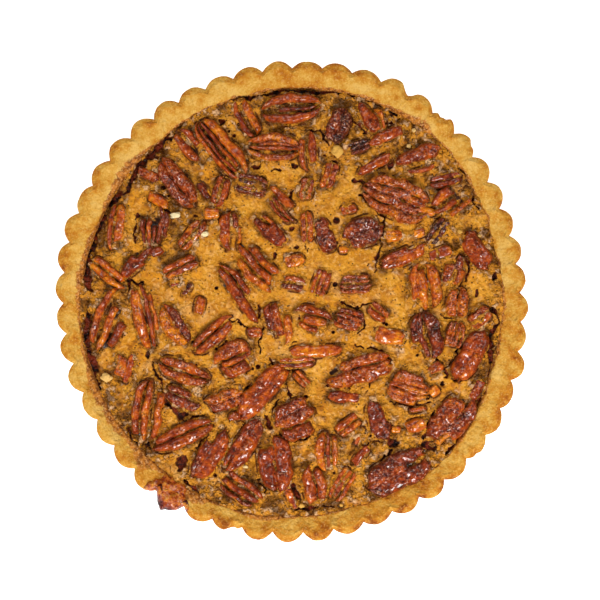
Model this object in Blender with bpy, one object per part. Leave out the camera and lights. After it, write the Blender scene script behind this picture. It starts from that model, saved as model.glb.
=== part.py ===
"""Pecan flan: a round open tart in a fluted pastry case, uncut.

The pastry case is a cup with forty-eight flutes. The set custard fills it to
just under the rim, and pecan halves and pieces lie on it, half sunk. Syrup
boiled over the rim at one place and set there.

Lengths below are millimetres and angles are degrees, counted from +X towards
+Y. Blender's metres are made in one place, where a mesh is built. The origin
is the middle of the flat base, and +Z is up.
"""

from collections import namedtuple
import math

import bpy
import numpy as np

MM = 0.001
GAP = 0.35
WALL_GAP = 0.6
SHARP_FROM = 50.0

# Pastry case
FLUTES = 48
COLUMNS_PER_FLUTE = 6
CREST_RADIUS = 135.0
FLUTE_DEPTH = 4.5
BASE_DRAFT = 9.0
BASE_FLUTE_DEPTH = 3.6
BASE_EDGE = 1.2
FLUTE_ROUNDNESS = 2.2
FLUTE_UNEVENNESS = 0.45
FIRST_VALLEY = 1.35
FLUTE_DRIFT = 1.35
FLUTE_DRIFT_TOWARDS = 310.0
LIP_HEIGHT = 25.6
LIP_ROUNDING = 1.9
RIM_HEIGHT = 28.0
SHOULDER_DROP = 0.4
RIDGE_FLUTES = 0.4
RIDGE_DRAFT = 1.6
SLOPE_SHARE = 0.55
SLOPE_DROP = 0.9
EDGE_ROUNDING = 0.2
FLOOR_THICKNESS = 4.0
WALL_DRAFT = 2.5
INNER_COLUMNS = 72

# The case left its tin a little out of round, with an uneven rim: (height, lobes, towards)
OUT_OF_ROUND = ((1.10, 2, 96.35), (1.05, 3, 69.4), (1.21, 4, 63.5))
RIM_UNEVENNESS = ((0.45, 3, 20.0), (0.45, 5, 75.0))

# Where the pastry's rim goes under the filling, every thirty degrees
EDGE_FIRST_ANGLE = -165.0
EDGE_STEP = 30.0
EDGE_RADII = (121.0, 120.0, 122.0, 120.0, 122.5, 118.0, 117.0, 121.0, 121.5, 119.0, 117.5, 119.0)

# Flutes that crumbled when the tart left its tin: (angle, half width, loss)
CHIPS = ((51.0, 2.4, 2.6), (61.0, 2.6, 2.2), (41.0, 1.6, 1.6), (-104.5, 3.0, 2.4), (-40.0, 1.6, 1.2))

# Custard
CUSTARD_LEVEL = 24.0
CUSTARD_SWELLS = ((0.55, 2, -17.5), (0.55, 3, 30.0))
CUSTARD_COLUMNS = 48
CUSTARD_RINGS = (22.0, 48.0, 74.0, 96.0)

# Where the custard shrank from the pastry: (middle angle, half width, depth)
SHRINK_WIDTH = 9.0
SHRUNK_ARCS = ((152.0, 30.0, 2.6), (-162.0, 14.0, 1.8), (-22.0, 26.0, 2.2), (68.0, 20.0, 1.0))

# Nuts
NUT_RISE = 0.36
NUT_LOWEST = 2.7
NUT_HIGHEST = 5.4
NUT_STATIONS = (-1.0, -0.78, -0.3, 0.3, 0.78, 1.0)
SMALL_STATIONS = (-1.0, -0.5, 0.5, 1.0)
SMALL_SINK = 1.6
NUT_UNEVENNESS = 0.07
NUT_TIP = 0.9
NUT_FULLNESS = 3.0
NUT_END_HEIGHT = 0.35
NUT_LIFT = 0.45

# How a nut's back runs across: for each number of ridges, (place, height)
NUT_BACKS = {
    1: ((-0.9, 0.5), (-0.46, 0.92), (0.0, 1.0), (0.46, 0.92), (0.9, 0.5)),
    2: ((-0.9, 0.55), (-0.45, 1.0), (0.0, 0.62), (0.45, 1.0), (0.9, 0.55)),
    3: ((-0.93, 0.5), (-0.63, 0.92), (-0.32, 0.6), (0.0, 1.0), (0.32, 0.6), (0.63, 0.92), (0.93, 0.5)),
}
SMALL_BACK = ((-0.7, 0.78), (0.0, 1.0), (0.7, 0.78))

# Boiled-over syrup, on seven columns of the case at its lower left
SYRUP_COLUMNS = slice(186, 193)
SYRUP_CLEARANCE = 1.4
SYRUP_START = 0.3
SYRUP_LOWEST = 14.0
SYRUP_BORDER = 0.25

# Along the tongue: how thick it is, and which way it stands off, out and up
SYRUP_ROWS = (
    (1.2, -0.45, 0.89),
    (2.0, -0.3, 0.95),
    (1.8, 0.0, 1.0),
    (2.2, 0.45, 0.89),
    (3.0, 0.95, 0.31),
    (3.4, 1.0, 0.0),
    (1.6, 0.95, -0.31),
)

Nut = namedtuple("Nut", "number x y length width turn ridges")

# Pecan halves and large pieces, each a solid of its own
LARGE_NUTS = (
    Nut(1, -26.5, 103.5, 21, 11, -62, 2),
    Nut(2, -40.0, 86.5, 36, 16, -50, 3),
    Nut(3, -60.0, 87.5, 19, 11, -47, 2),
    Nut(4, -64.5, 67.5, 29, 14, -55, 2),
    Nut(8, -1.0, 108.8, 30, 14.5, 7, 3),
    Nut(9, -11.3, 87.1, 27, 15, -2, 3),
    Nut(12, -5.5, 55.0, 23, 10, -50, 3),
    Nut(13, 25.0, 99.0, 19, 13, 65, 2),
    Nut(15, 43.0, 102.6, 19, 12.5, -58, 3),
    Nut(16, 55.0, 92.6, 24, 8.5, 22, 1),
    Nut(19, 9.0, 85.0, 20, 9, 92, 2),
    Nut(21, 54.5, 55.0, 30, 12, -22, 2),
    Nut(23, -100.5, 42.0, 24, 10, 84, 2),
    Nut(24, -78.0, 42.0, 21, 14, 80, 3),
    Nut(25, -88.5, 22.0, 21, 10, 45, 1),
    Nut(27, -105.1, 15.5, 22.5, 10, -38, 2),
    Nut(32, -35.5, 40.0, 19, 11, 88, 2),
    Nut(33, -13.0, 39.5, 21, 10, -42, 1),
    Nut(34, -20.0, 19.5, 30, 14.5, -47, 3),
    Nut(35, -31.0, 4.0, 34, 11, -55, 2),
    Nut(37, 18.0, 37.0, 19, 10, -72, 1),
    Nut(42, 39.0, 39.5, 20, 14, 20, 2),
    Nut(48, 61.5, 26.5, 25, 8.5, 25, 1),
    Nut(52, 91.0, 17.0, 17, 11, 70, 2),
    Nut(53, 104.0, 28.5, 21, 13, -55, 1),
    Nut(54, 73.5, 8.5, 24, 14, 95, 3),
    Nut(55, 92.0, -1.0, 17, 13, 85, 2),
    Nut(56, 90.2, 57.8, 24, 12.5, 30, 3),
    Nut(57, 70.5, 81.0, 25, 13, 16, 3),
    Nut(59, -103.5, -11.0, 33, 15, 68, 3),
    Nut(60, -85.0, -9.0, 35, 13, 101, 2),
    Nut(61, -67.0, -13.0, 23, 13, -55, 2),
    Nut(62, -45.5, -18.5, 26, 11, 42, 2),
    Nut(63, -61.5, -38.5, 27, 11, -20, 2),
    Nut(67, -82.5, -61.5, 31, 14, 82, 3),
    Nut(68, -62.0, -54.0, 21, 10.5, -25, 2),
    Nut(69, -8.0, -12.5, 22, 13, -80, 2),
    Nut(70, -34.0, -31.5, 20, 16, 25, 2),
    Nut(71, -17.0, -51.0, 35, 13, 50, 1),
    Nut(72, -39.0, -52.0, 21, 10.5, 20, 2),
    Nut(73, 11.5, -8.5, 19, 12, -12, 3),
    Nut(77, 12.5, -27.5, 27, 7, 2, 1),
    Nut(79, 37.0, -38.5, 35, 14.5, 18, 2),
    Nut(82, 74.5, -19.5, 24, 14.5, -77, 3),
    Nut(85, 100.0, -30.0, 28, 13, 60, 1),
    Nut(86, 65.0, -48.5, 22, 14, -15, 3),
    Nut(89, -62.5, -75.5, 33, 12, 22, 2),
    Nut(90, -48.5, -86.0, 28, 12, 57, 1),
    Nut(91, -29.0, -80.5, 30, 11, 55, 2),
    Nut(92, -10.5, -91.5, 28, 15, 97, 2),
    Nut(93, -29.5, -106.0, 26, 12, -33, 3),
    Nut(96, 0.5, -66.0, 22, 18, 20, 2),
    Nut(97, 18.5, -85.0, 20, 11, 92, 3),
    Nut(100, 48.5, -67.5, 22, 11, -70, 1),
    Nut(101, 12.0, -104.5, 21, 12, -78, 2),
    Nut(104, 59.3, -96.2, 35, 15.5, 28, 2),
    Nut(107, 89.5, -67.5, 31, 17, 50, 2),
)

# Smaller pieces, baked into the custard's skin
SMALL_NUTS = (
    Nut(5, -81.8, 71.7, 12.5, 6, -20, 1),
    Nut(6, -76.5, 57.0, 13, 6, -30, 1),
    Nut(7, -50.5, 62.2, 10.5, 4.5, -60, 1),
    Nut(10, -23.8, 65.1, 17, 10.5, -10, 1),
    Nut(11, -41.5, 62.0, 16, 8, 75, 1),
    Nut(14, 37.0, 87.5, 12, 7, 20, 1),
    Nut(17, 46.0, 77.5, 20, 5.5, 29, 1),
    Nut(18, 20.5, 71.5, 15, 8, 75, 1),
    Nut(20, 7.5, 63.5, 12, 8, 75, 1),
    Nut(112, 66.5, 65.5, 23, 6, -25, 1),
    Nut(22, 74.9, 50.8, 9.5, 4.5, -15, 1),
    Nut(28, -63.5, 19.5, 20, 8, 25, 1),
    Nut(30, -60.0, 6.5, 8, 4, 60, 1),
    Nut(31, -57.0, 37.5, 18, 8, 52, 1),
    Nut(36, 7.5, 42.3, 17, 6.8, 92, 1),
    Nut(38, 0.5, 23.0, 11, 7, 15, 1),
    Nut(39, 0.0, 10.1, 12.5, 8, -10, 1),
    Nut(40, -46.0, 49.5, 8, 6.5, 0, 1),
    Nut(41, -53.0, -2.5, 10, 6, 80, 1),
    Nut(45, 56.5, 37.0, 9, 7, 0, 1),
    Nut(46, 15.5, 11.0, 15, 9, 70, 1),
    Nut(47, 35.0, 10.0, 17, 10, 0, 1),
    Nut(49, 71.0, 38.5, 7, 5, 20, 1),
    Nut(50, 81.5, 39.5, 15, 8, 55, 1),
    Nut(51, 83.0, 27.0, 12, 7.5, 20, 1),
    Nut(58, 86.0, 68.5, 17, 7, 14, 1),
    Nut(64, -97.0, -36.5, 13, 7, 85, 1),
    Nut(66, -105.5, -43.0, 6, 4.5, 0, 1),
    Nut(74, 31.5, -10.0, 15, 11, -20, 1),
    Nut(75, 48.0, -6.0, 12, 8, -40, 1),
    Nut(76, 54.0, -20.0, 18, 8.5, -8, 1),
    Nut(80, 29.0, -54.0, 17, 6.5, -5, 1),
    Nut(81, 4.5, -43.5, 11, 5.5, -45, 1),
    Nut(83, 91.0, -19.0, 14, 9, 75, 1),
    Nut(84, 105.5, -9.0, 13, 9, 40, 1),
    Nut(87, 79.5, -50.7, 6, 5.5, 35, 1),
    Nut(94, -1.5, -111.0, 12, 4.5, -65, 1),
    Nut(98, 31.0, -70.0, 15, 8, 38, 1),
    Nut(102, 27.5, -103.0, 19, 9, 58, 1),
    Nut(103, 38.0, -87.0, 12, 5.5, 50, 1),
    Nut(106, 69.0, -70.5, 11, 8, 15, 1),
    Nut(108, 103.8, -49.6, 11, 7, 60, 1),
)

CRUST_COLOUR = (206, 144, 62)
CUSTARD_COLOUR = (190, 128, 54)
NUT_COLOUR = (128, 62, 30)
SYRUP_COLOUR = (120, 44, 18)


def clear_scene():
    for item in list(bpy.data.objects):
        bpy.data.objects.remove(item)


def linear(channel):
    """Turn an 8-bit display value into the linear value a shader takes."""
    share = channel / 255.0
    return share / 12.92 if share <= 0.04045 else ((share + 0.055) / 1.055) ** 2.4


def food_material(name, colour, roughness):
    material = bpy.data.materials.new(name)
    material.use_nodes = True
    shader = material.node_tree.nodes["Principled BSDF"]
    shader.inputs["Base Color"].default_value = (*[linear(channel) for channel in colour], 1.0)
    shader.inputs["Roughness"].default_value = roughness
    shader.inputs["Metallic"].default_value = 0.0
    return material


def wave(angle, height, lobes, towards):
    return height * np.cos(lobes * np.radians(angle - towards))


def waves(angle, rows):
    return sum(wave(angle, *row) for row in rows)


def angle_from(angle, middle):
    """The signed turn from one direction to another, within half a circle."""
    return (np.asarray(angle) - middle + 180.0) % 360.0 - 180.0


def bump(angle, middle, half_width):
    """One at the middle, falling smoothly to nothing a half width away."""
    share = np.clip(np.abs(angle_from(angle, middle)) / half_width, 0.0, 1.0)
    return 0.5 + 0.5 * np.cos(np.pi * share)


def polar(angle, radius, height):
    turn = np.radians(angle)
    height = np.broadcast_to(height, np.shape(angle))
    return np.stack([radius * np.cos(turn), radius * np.sin(turn), height], axis=-1)


def circle_angles(count):
    return np.arange(count) * 360.0 / count


def flute_angles():
    """The angle of each column: six to a flute, the first in its valley."""
    evenly = circle_angles(FLUTES * COLUMNS_PER_FLUTE)
    angle = evenly
    for _ in range(6):
        angle = evenly + FIRST_VALLEY + wave(angle, FLUTE_DRIFT, 1, FLUTE_DRIFT_TOWARDS)
    return angle


def flute_lobe():
    """How far each column stands out: none in a valley, one on a crest."""
    across = (np.arange(FLUTES * COLUMNS_PER_FLUTE) % COLUMNS_PER_FLUTE) / COLUMNS_PER_FLUTE
    lobe = 1.0 - np.abs(2.0 * across - 1.0) ** FLUTE_ROUNDNESS
    draw = np.random.default_rng(48)
    size = 1.0 + FLUTE_UNEVENNESS * (draw.random(FLUTES) - 0.5)
    return lobe * np.repeat(size, COLUMNS_PER_FLUTE)


def outer_radius(angle, lobe, depth, draft):
    """The fluted outline: a circle out of round, plus the flutes, less the chips."""
    radius = CREST_RADIUS - FLUTE_DEPTH - draft + depth * lobe + waves(angle, OUT_OF_ROUND)
    for middle, half_width, loss in CHIPS:
        radius = radius - loss * lobe * bump(angle, middle, half_width)
    return radius


def edge_radius(angle):
    """Where the rim goes under the custard, smooth between the known angles."""
    known = EDGE_FIRST_ANGLE + EDGE_STEP * np.arange(len(EDGE_RADII))
    return np.interp(angle, known, EDGE_RADII, period=360.0)


def inner_radius(angle, height):
    """The inside of the case's wall, which leans in towards its floor."""
    share = (CUSTARD_LEVEL - height) / (CUSTARD_LEVEL - FLOOR_THICKNESS)
    return edge_radius(angle) - WALL_DRAFT * share


def rim_height(angle):
    return RIM_HEIGHT + waves(angle, RIM_UNEVENNESS)


def ridge_radius(angle, lobe):
    """The line along the top of the rim, where the flutes have nearly died out."""
    return outer_radius(angle, lobe, RIDGE_FLUTES * FLUTE_DEPTH, RIDGE_DRAFT)


def slope_radius(angle, lobe):
    """A line part of the way up the rim's inner slope, from the custard to the ridge."""
    edge = edge_radius(angle)
    return edge + SLOPE_SHARE * (ridge_radius(angle, lobe) - edge)


def custard_top(x, y):
    """The custard's skin: nearly level, gently swollen, lower where it shrank."""
    angle = np.degrees(np.arctan2(y, x))
    radius = np.hypot(x, y)
    swell = waves(angle, CUSTARD_SWELLS) * radius / CREST_RADIUS
    shrink = np.clip((radius - edge_radius(angle)) / SHRINK_WIDTH + 1.0, 0.0, 1.0)
    fall = sum(depth * bump(angle, middle, width) for middle, width, depth in SHRUNK_ARCS)
    return CUSTARD_LEVEL + swell - fall * shrink


def stitch(first, second, count_first, count_second):
    """Triangles between two rings, where one has a whole multiple of the other's points."""
    faces = []
    if count_first >= count_second:
        step = count_first // count_second
        for index in range(count_second):
            after = (index + 1) % count_second
            low, low_after = second + index, second + after
            points = [first + (index * step + k) % count_first for k in range(step + 1)]
            faces += [(points[k], points[k + 1], low) for k in range(step)]
            faces.append((points[-1], low_after, low))
    else:
        faces = [face[::-1] for face in stitch(second, first, count_second, count_first)]
    return faces


def skin(rings, first_pole, last_pole):
    """A closed surface over rings of points, each end shut by a pole."""
    starts = np.cumsum([0] + [len(ring) for ring in rings])
    vertices = np.concatenate(list(rings) + [np.array([first_pole, last_pole], dtype=float)])
    bottom, top = len(vertices) - 2, len(vertices) - 1
    faces = []
    for index in range(len(rings) - 1):
        faces += stitch(starts[index], starts[index + 1], len(rings[index]), len(rings[index + 1]))
    count_first, count_last = len(rings[0]), len(rings[-1])
    faces += [(bottom, (k + 1) % count_first, k) for k in range(count_first)]
    faces += [(starts[-2] + k, starts[-2] + (k + 1) % count_last, top) for k in range(count_last)]
    return vertices, faces


def shade_round(mesh):
    """Shade a mesh smooth, with a sharp line only where its faces meet at a steep angle."""
    mesh.shade_smooth()
    mesh.set_sharp_from_angle(angle=math.radians(SHARP_FROM))


def food_object(name, vertices, faces, material):
    mesh = bpy.data.meshes.new(name)
    mesh.from_pydata((np.asarray(vertices) * MM).tolist(), [], [tuple(map(int, face)) for face in faces])
    mesh.materials.append(material)
    mesh.validate()
    shade_round(mesh)
    item = bpy.data.objects.new(name, mesh)
    bpy.context.scene.collection.objects.link(item)
    return item


def pastry_case():
    """The case as rings, from the middle of its base up its outside and down its inside."""
    angle = flute_angles()
    lobe = flute_lobe()
    foot = outer_radius(angle, lobe, BASE_FLUTE_DEPTH, BASE_DRAFT)
    lip = outer_radius(angle, lobe, FLUTE_DEPTH, 0.0)
    top = rim_height(angle)
    wider = slice(None, None, 2)
    inner = slice(None, None, COLUMNS_PER_FLUTE * FLUTES // INNER_COLUMNS)
    around = angle[inner]
    ridge = ridge_radius(angle, lobe)
    slope = slope_radius(angle, lobe)
    rings = [
        polar(around[wider], 0.5 * CREST_RADIUS, 0.0),
        polar(angle, foot - BASE_EDGE, 0.0),
        polar(angle, foot, BASE_EDGE),
        polar(angle, lip, LIP_HEIGHT),
        polar(angle, lip - LIP_ROUNDING, top - SHOULDER_DROP),
        polar(angle[wider], ridge[wider], top[wider]),
        polar(around, slope[inner], top[inner] - SLOPE_DROP),
        polar(around, edge_radius(around) + EDGE_ROUNDING, CUSTARD_LEVEL + EDGE_ROUNDING),
        polar(around, inner_radius(around, FLOOR_THICKNESS), FLOOR_THICKNESS),
    ]
    vertices, faces = skin(rings, (0, 0, 0), (0, 0, FLOOR_THICKNESS))
    return food_object("crust", vertices, faces, food_material("pastry", CRUST_COLOUR, 0.75))


def custard(material):
    """The custard as rings, from the middle of its underside out and over its top."""
    angle = circle_angles(CUSTARD_COLUMNS)
    floor = FLOOR_THICKNESS + GAP
    edge = edge_radius(angle)
    border = polar(angle, edge, 0.0)
    height = custard_top(border[:, 0], border[:, 1])
    rings = [
        polar(angle, inner_radius(angle, floor) - WALL_GAP, floor),
        polar(angle, inner_radius(angle, height) - WALL_GAP, height),
    ]
    for radius in [edge - SHRINK_WIDTH, *reversed(CUSTARD_RINGS)]:
        ring = polar(angle, radius, 0.0)
        ring[:, 2] = custard_top(ring[:, 0], ring[:, 1])
        rings.append(ring)
    vertices, faces = skin(rings, (0, 0, floor), (0, 0, CUSTARD_LEVEL))
    return food_object("custard", vertices, faces, material)


def nut_points(nut, along, across, height):
    """Put points of a nut's own frame where the nut lies, above the custard's skin."""
    turn = math.radians(nut.turn)
    x = nut.x + along * math.cos(turn) - across * math.sin(turn)
    y = nut.y + along * math.sin(turn) + across * math.cos(turn)
    return np.stack([x, y, custard_top(x, y) + height], axis=-1)


def nut_solid(nut, stations, back, foot):
    """A half nut: ribs along its length, blunt at both ends, flat underneath."""
    draw = np.random.default_rng(nut.number)
    rise = min(max(NUT_RISE * nut.width, NUT_LOWEST), NUT_HIGHEST)
    place = np.array([spot for spot, _ in back])
    shape = np.array([size for _, size in back])
    rings = []
    for station in stations:
        girth = math.sqrt(1.0 - (NUT_TIP * abs(station)) ** NUT_FULLNESS)
        body = NUT_END_HEIGHT + (1.0 - NUT_END_HEIGHT) * girth
        wobble = 1.0 + NUT_UNEVENNESS * draw.standard_normal(len(back))
        half_width = 0.5 * nut.width * girth
        across = np.concatenate([[1.0], -place, [-1.0, 0.0]]) * half_width
        height = np.concatenate([[foot], GAP + rise * body * shape * wobble, [foot, foot]])
        along = np.full(len(across), 0.5 * nut.length * station)
        rings.append(nut_points(nut, along, across, height))
    ends = [ring.mean(axis=0) for ring in (rings[0], rings[-1])]
    return skin(rings, ends[0], ends[1])


def loose_nut(nut, material):
    vertices, faces = nut_solid(nut, NUT_STATIONS, NUT_BACKS[nut.ridges], NUT_LIFT)
    return food_object(f"pecan_{nut.number:03d}", vertices, faces, material)


def filling(nut_material):
    """The custard with the smaller pieces joined on by one Boolean union."""
    custard_material = food_material("custard", CUSTARD_COLOUR, 0.45)
    body = custard(custard_material)
    pieces = bpy.data.collections.new("small pieces")
    bpy.context.scene.collection.children.link(pieces)
    for nut in SMALL_NUTS:
        vertices, faces = nut_solid(nut, SMALL_STATIONS, SMALL_BACK, -SMALL_SINK)
        piece = food_object(f"piece {nut.number}", vertices, faces, nut_material)
        bpy.context.scene.collection.objects.unlink(piece)
        pieces.objects.link(piece)
    union = body.modifiers.new("small pieces", "BOOLEAN")
    union.operation = "UNION"
    union.operand_type = "COLLECTION"
    union.collection = pieces
    whole = bpy.data.meshes.new_from_object(body.evaluated_get(bpy.context.evaluated_depsgraph_get()))
    shade_round(whole)
    body.modifiers.clear()
    body.data = whole
    body.name = "filling"
    for piece in list(pieces.objects):
        bpy.data.objects.remove(piece)
    bpy.data.collections.remove(pieces)
    return body


def boiled_syrup():
    """A tongue of set syrup from the custard's edge over the rim and down the flutes."""
    angle = flute_angles()[SYRUP_COLUMNS]
    lobe = flute_lobe()[SYRUP_COLUMNS]
    foot = outer_radius(angle, lobe, BASE_FLUTE_DEPTH, BASE_DRAFT)
    lip = outer_radius(angle, lobe, FLUTE_DEPTH, 0.0)
    slope = slope_radius(angle, lobe)
    slope_height = rim_height(angle) - SLOPE_DROP
    edge = edge_radius(angle)
    edge_height = CUSTARD_LEVEL + EDGE_ROUNDING
    lowest = foot + (lip - foot) * (SYRUP_LOWEST - BASE_EDGE) / (LIP_HEIGHT - BASE_EDGE)
    middle = 0.5 * (lip + lowest)
    under = (
        (edge + SYRUP_START * (slope - edge), edge_height + SYRUP_START * (slope_height - edge_height)),
        (slope, slope_height),
        (ridge_radius(angle, lobe), rim_height(angle)),
        (lip - LIP_ROUNDING, rim_height(angle) - SHOULDER_DROP),
        (lip, np.full(len(angle), LIP_HEIGHT)),
        (middle, np.full(len(angle), 0.5 * (LIP_HEIGHT + SYRUP_LOWEST))),
        (lowest, np.full(len(angle), SYRUP_LOWEST)),
    )
    crown = SYRUP_BORDER + (1.0 - SYRUP_BORDER) * np.sin(np.linspace(0.0, np.pi, len(angle)))
    rings = []
    for (radius, height), (thickness, out, up) in zip(under, SYRUP_ROWS):
        low = polar(angle, radius + SYRUP_CLEARANCE * out, height + SYRUP_CLEARANCE * up)
        stand_off = SYRUP_CLEARANCE + thickness * crown
        high = polar(angle, radius + stand_off * out, height + stand_off * up)
        rings.append(np.concatenate([low, high[::-1]]))
    vertices, faces = skin(rings, rings[0].mean(axis=0), rings[-1].mean(axis=0))
    return food_object("boiled_syrup", vertices, faces, food_material("syrup", SYRUP_COLOUR, 0.15))


def build():
    clear_scene()
    nut_material = food_material("pecan", NUT_COLOUR, 0.3)
    pastry_case()
    filling(nut_material)
    boiled_syrup()
    for nut in LARGE_NUTS:
        loose_nut(nut, nut_material)


build()
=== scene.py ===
from collections import namedtuple
import math

import bpy
import numpy as np
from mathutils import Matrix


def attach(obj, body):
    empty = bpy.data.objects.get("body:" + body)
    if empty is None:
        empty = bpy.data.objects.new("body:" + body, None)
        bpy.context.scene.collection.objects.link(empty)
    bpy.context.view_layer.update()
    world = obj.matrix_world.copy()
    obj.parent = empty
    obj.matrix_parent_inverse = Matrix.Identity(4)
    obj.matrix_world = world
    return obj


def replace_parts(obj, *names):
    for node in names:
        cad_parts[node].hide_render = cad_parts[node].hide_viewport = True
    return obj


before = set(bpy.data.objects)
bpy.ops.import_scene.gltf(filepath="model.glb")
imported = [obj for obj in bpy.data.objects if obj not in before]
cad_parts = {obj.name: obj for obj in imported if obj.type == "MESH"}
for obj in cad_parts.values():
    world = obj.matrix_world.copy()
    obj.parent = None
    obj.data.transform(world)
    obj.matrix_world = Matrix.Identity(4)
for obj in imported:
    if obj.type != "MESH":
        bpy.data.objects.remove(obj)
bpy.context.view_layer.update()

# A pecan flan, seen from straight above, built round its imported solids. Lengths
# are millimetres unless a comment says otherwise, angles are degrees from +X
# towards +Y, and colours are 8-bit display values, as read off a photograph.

MM = 0.001

# Table top, camera and light
# The flan stands on a plain white table under soft light from all round, with
# one smaller lamp on the near side, which puts the gloss on the nuts.

FRAME_WIDTH = 337.5
VIEW_CENTRE = (3.7, 0.7)
LENS = 100.0
SENSOR = 36.0
RIM_TOP = 28.0
TABLE_SIZE = 40000.0
TABLE_WHITES = ((250, 250, 249), (254, 254, 253))
TABLE_BLOTCH = 60.0
TABLE_GLOW = 0.8
SKY_STRENGTH = 0.07
WHITE = (255, 255, 255)

# Lamps, as (name, place in metres, width in metres, power in watts)
LAMPS = (
    ("near lamp", (0.12, -0.80, 0.80), 0.36, 13.8),
    ("far lamp", (-0.25, 0.90, 0.80), 0.7, 4.5),
    ("left lamp", (-0.95, -0.10, 0.75), 0.6, 4.2),
    ("right lamp", (0.95, 0.10, 0.75), 0.6, 4.2),
)


def linear(colour):
    """The linear colour of an 8-bit display colour, by the usual display curve."""
    share = np.asarray(colour, dtype=float) / 255.0
    value = np.where(share <= 0.04045, share / 12.92, ((share + 0.055) / 1.055) ** 2.4)
    return (*value.tolist(), 1.0)


def food_object(name, vertices, faces, material):
    """A mesh piece from points in millimetres, shaded smooth, at the origin."""
    mesh = bpy.data.meshes.new(name)
    mesh.from_pydata((np.asarray(vertices) * MM).tolist(), [], faces)
    mesh.materials.append(material)
    mesh.shade_smooth()
    piece = bpy.data.objects.new(name, mesh)
    bpy.context.scene.collection.objects.link(piece)
    return piece


class Value:
    """A number or a colour inside a shader: each sum written with it adds one node."""

    def __init__(self, skin, socket):
        self.skin = skin
        self.socket = socket

    def __add__(self, other):
        return self.skin.sum("ADD", self, other)

    def __sub__(self, other):
        return self.skin.sum("SUBTRACT", self, other)

    def __mul__(self, other):
        return self.skin.sum("MULTIPLY", self, other)

    def __abs__(self):
        return self.skin.sum("ABSOLUTE", self, 0.0)


class Surface:
    """A shader written down step by step: each method adds one node and gives its output."""

    def __init__(self, name):
        self.material = bpy.data.materials.new(name)
        self.material.use_nodes = True
        self.nodes = self.material.node_tree.nodes
        self.links = self.material.node_tree.links
        self.shader = self.nodes["Principled BSDF"]
        self.place = self.add("TexCoord", "Object", {})

    def feed(self, socket, value):
        """Links a shader value to a socket, or sets the socket to a number or an 8-bit colour."""
        if isinstance(value, Value):
            self.links.new(value.socket, socket)
        else:
            socket.default_value = linear(value) if isinstance(value, tuple) else value

    def add(self, kind, output, inputs, **settings):
        """One node of a kind, with its settings made and its inputs fed, and the output named."""
        node = self.nodes.new("ShaderNode" + kind)
        for name, setting in settings.items():
            setattr(node, name, setting)
        for name, value in inputs.items():
            self.feed(node.inputs[name], value)
        return Value(self, node.outputs[output])

    def noise(self, size, detail=2.0):
        """Cloudy noise whose blotches are about the given size across."""
        inputs = {"Scale": 1.0 / (size * MM), "Detail": detail, "Vector": self.place}
        return self.add("TexNoise", "Fac", inputs)

    def cells(self, size):
        """The distance from the nearest of many scattered points."""
        return self.add("TexVoronoi", "Distance", {"Scale": 1.0 / (size * MM), "Vector": self.place})

    def ramp(self, value, low, high, first=0.0, last=1.0):
        """Ease from first to last while the value goes from low to high."""
        inputs = {"Value": value, "From Min": low, "From Max": high, "To Min": first, "To Max": last}
        return self.add("MapRange", "Result", inputs, interpolation_type="SMOOTHSTEP")

    def sum(self, operation, first, second):
        """One sum of two values."""
        return self.add("Math", 0, {0: first, 1: second}, operation=operation)

    def mix(self, share, first, second):
        """The second colour laid over the first by the share given."""
        return self.add("Mix", 2, {"Factor": share, 6: first, 7: second}, data_type="RGBA")

    def scale_of_colours(self, value, stops):
        """A colour read off a scale of (place, colour) stops."""
        node = self.nodes.new("ShaderNodeValToRGB")
        elements = node.color_ramp.elements
        while len(elements) < len(stops):
            elements.new(0.5)
        for element, (place, colour) in zip(elements, stops):
            element.position = place
            element.color = linear(colour)
        self.feed(node.inputs["Fac"], value)
        return Value(self, node.outputs["Color"])

    def mark(self, name):
        """A value kept on the mesh's own points."""
        return self.add("Attribute", "Fac", {}, attribute_name=name)

    def bump(self, height, depth, **below):
        """Fine relief of the given depth in millimetres, over a coarser one if its Normal is given."""
        return self.add("Bump", "Normal", {"Distance": depth * MM, "Height": height, **below})

    def finish(self, colour, roughness, **settings):
        """The finished material; in a setting's name, an underline stands for a space."""
        self.feed(self.shader.inputs["Base Color"], colour)
        self.feed(self.shader.inputs["Roughness"], roughness)
        for name, value in settings.items():
            self.feed(self.shader.inputs[name.replace("_", " ")], value)
        return self.material


def lamp(name, place, width, power):
    """A round lamp that shines at the origin, tipped and turned as its place lies from there."""
    light = bpy.data.lights.new(name, "AREA")
    light.shape = "DISK"
    light.size = width
    light.energy = power
    item = bpy.data.objects.new(name, light)
    bpy.context.scene.collection.objects.link(item)
    item.location = place
    x, y, z = place
    item.rotation_euler = (math.atan2(math.hypot(x, y), z), 0.0, math.atan2(x, -y))


def table_top():
    """One large square in the plane of the base, faintly lit from within so that it stays white."""
    half = 0.5 * TABLE_SIZE
    corners = [(-half, -half, 0.0), (half, -half, 0.0), (half, half, 0.0), (-half, half, 0.0)]
    paint = Surface("table white")
    white = paint.mix(paint.noise(TABLE_BLOTCH, 4.0), *TABLE_WHITES)
    paint.finish(white, 0.9, Emission_Color=WHITE, Emission_Strength=TABLE_GLOW)
    food_object("table", corners, [(0, 1, 2, 3)], paint.material)


table_top()

lens = bpy.data.cameras.new("camera")
lens.lens = LENS
lens.sensor_width = SENSOR
camera = bpy.data.objects.new("camera", lens)
bpy.context.scene.collection.objects.link(camera)
camera.location = (VIEW_CENTRE[0] * MM, VIEW_CENTRE[1] * MM, (RIM_TOP + FRAME_WIDTH * LENS / SENSOR) * MM)
bpy.context.scene.camera = camera

bpy.context.scene.view_settings.view_transform = "Standard"
sky = bpy.data.worlds.new("sky")
sky.use_nodes = True
sky.node_tree.nodes["Background"].inputs["Color"].default_value = linear(WHITE)
sky.node_tree.nodes["Background"].inputs["Strength"].default_value = SKY_STRENGTH
bpy.context.scene.world = sky
for row in LAMPS:
    lamp(*row)

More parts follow.
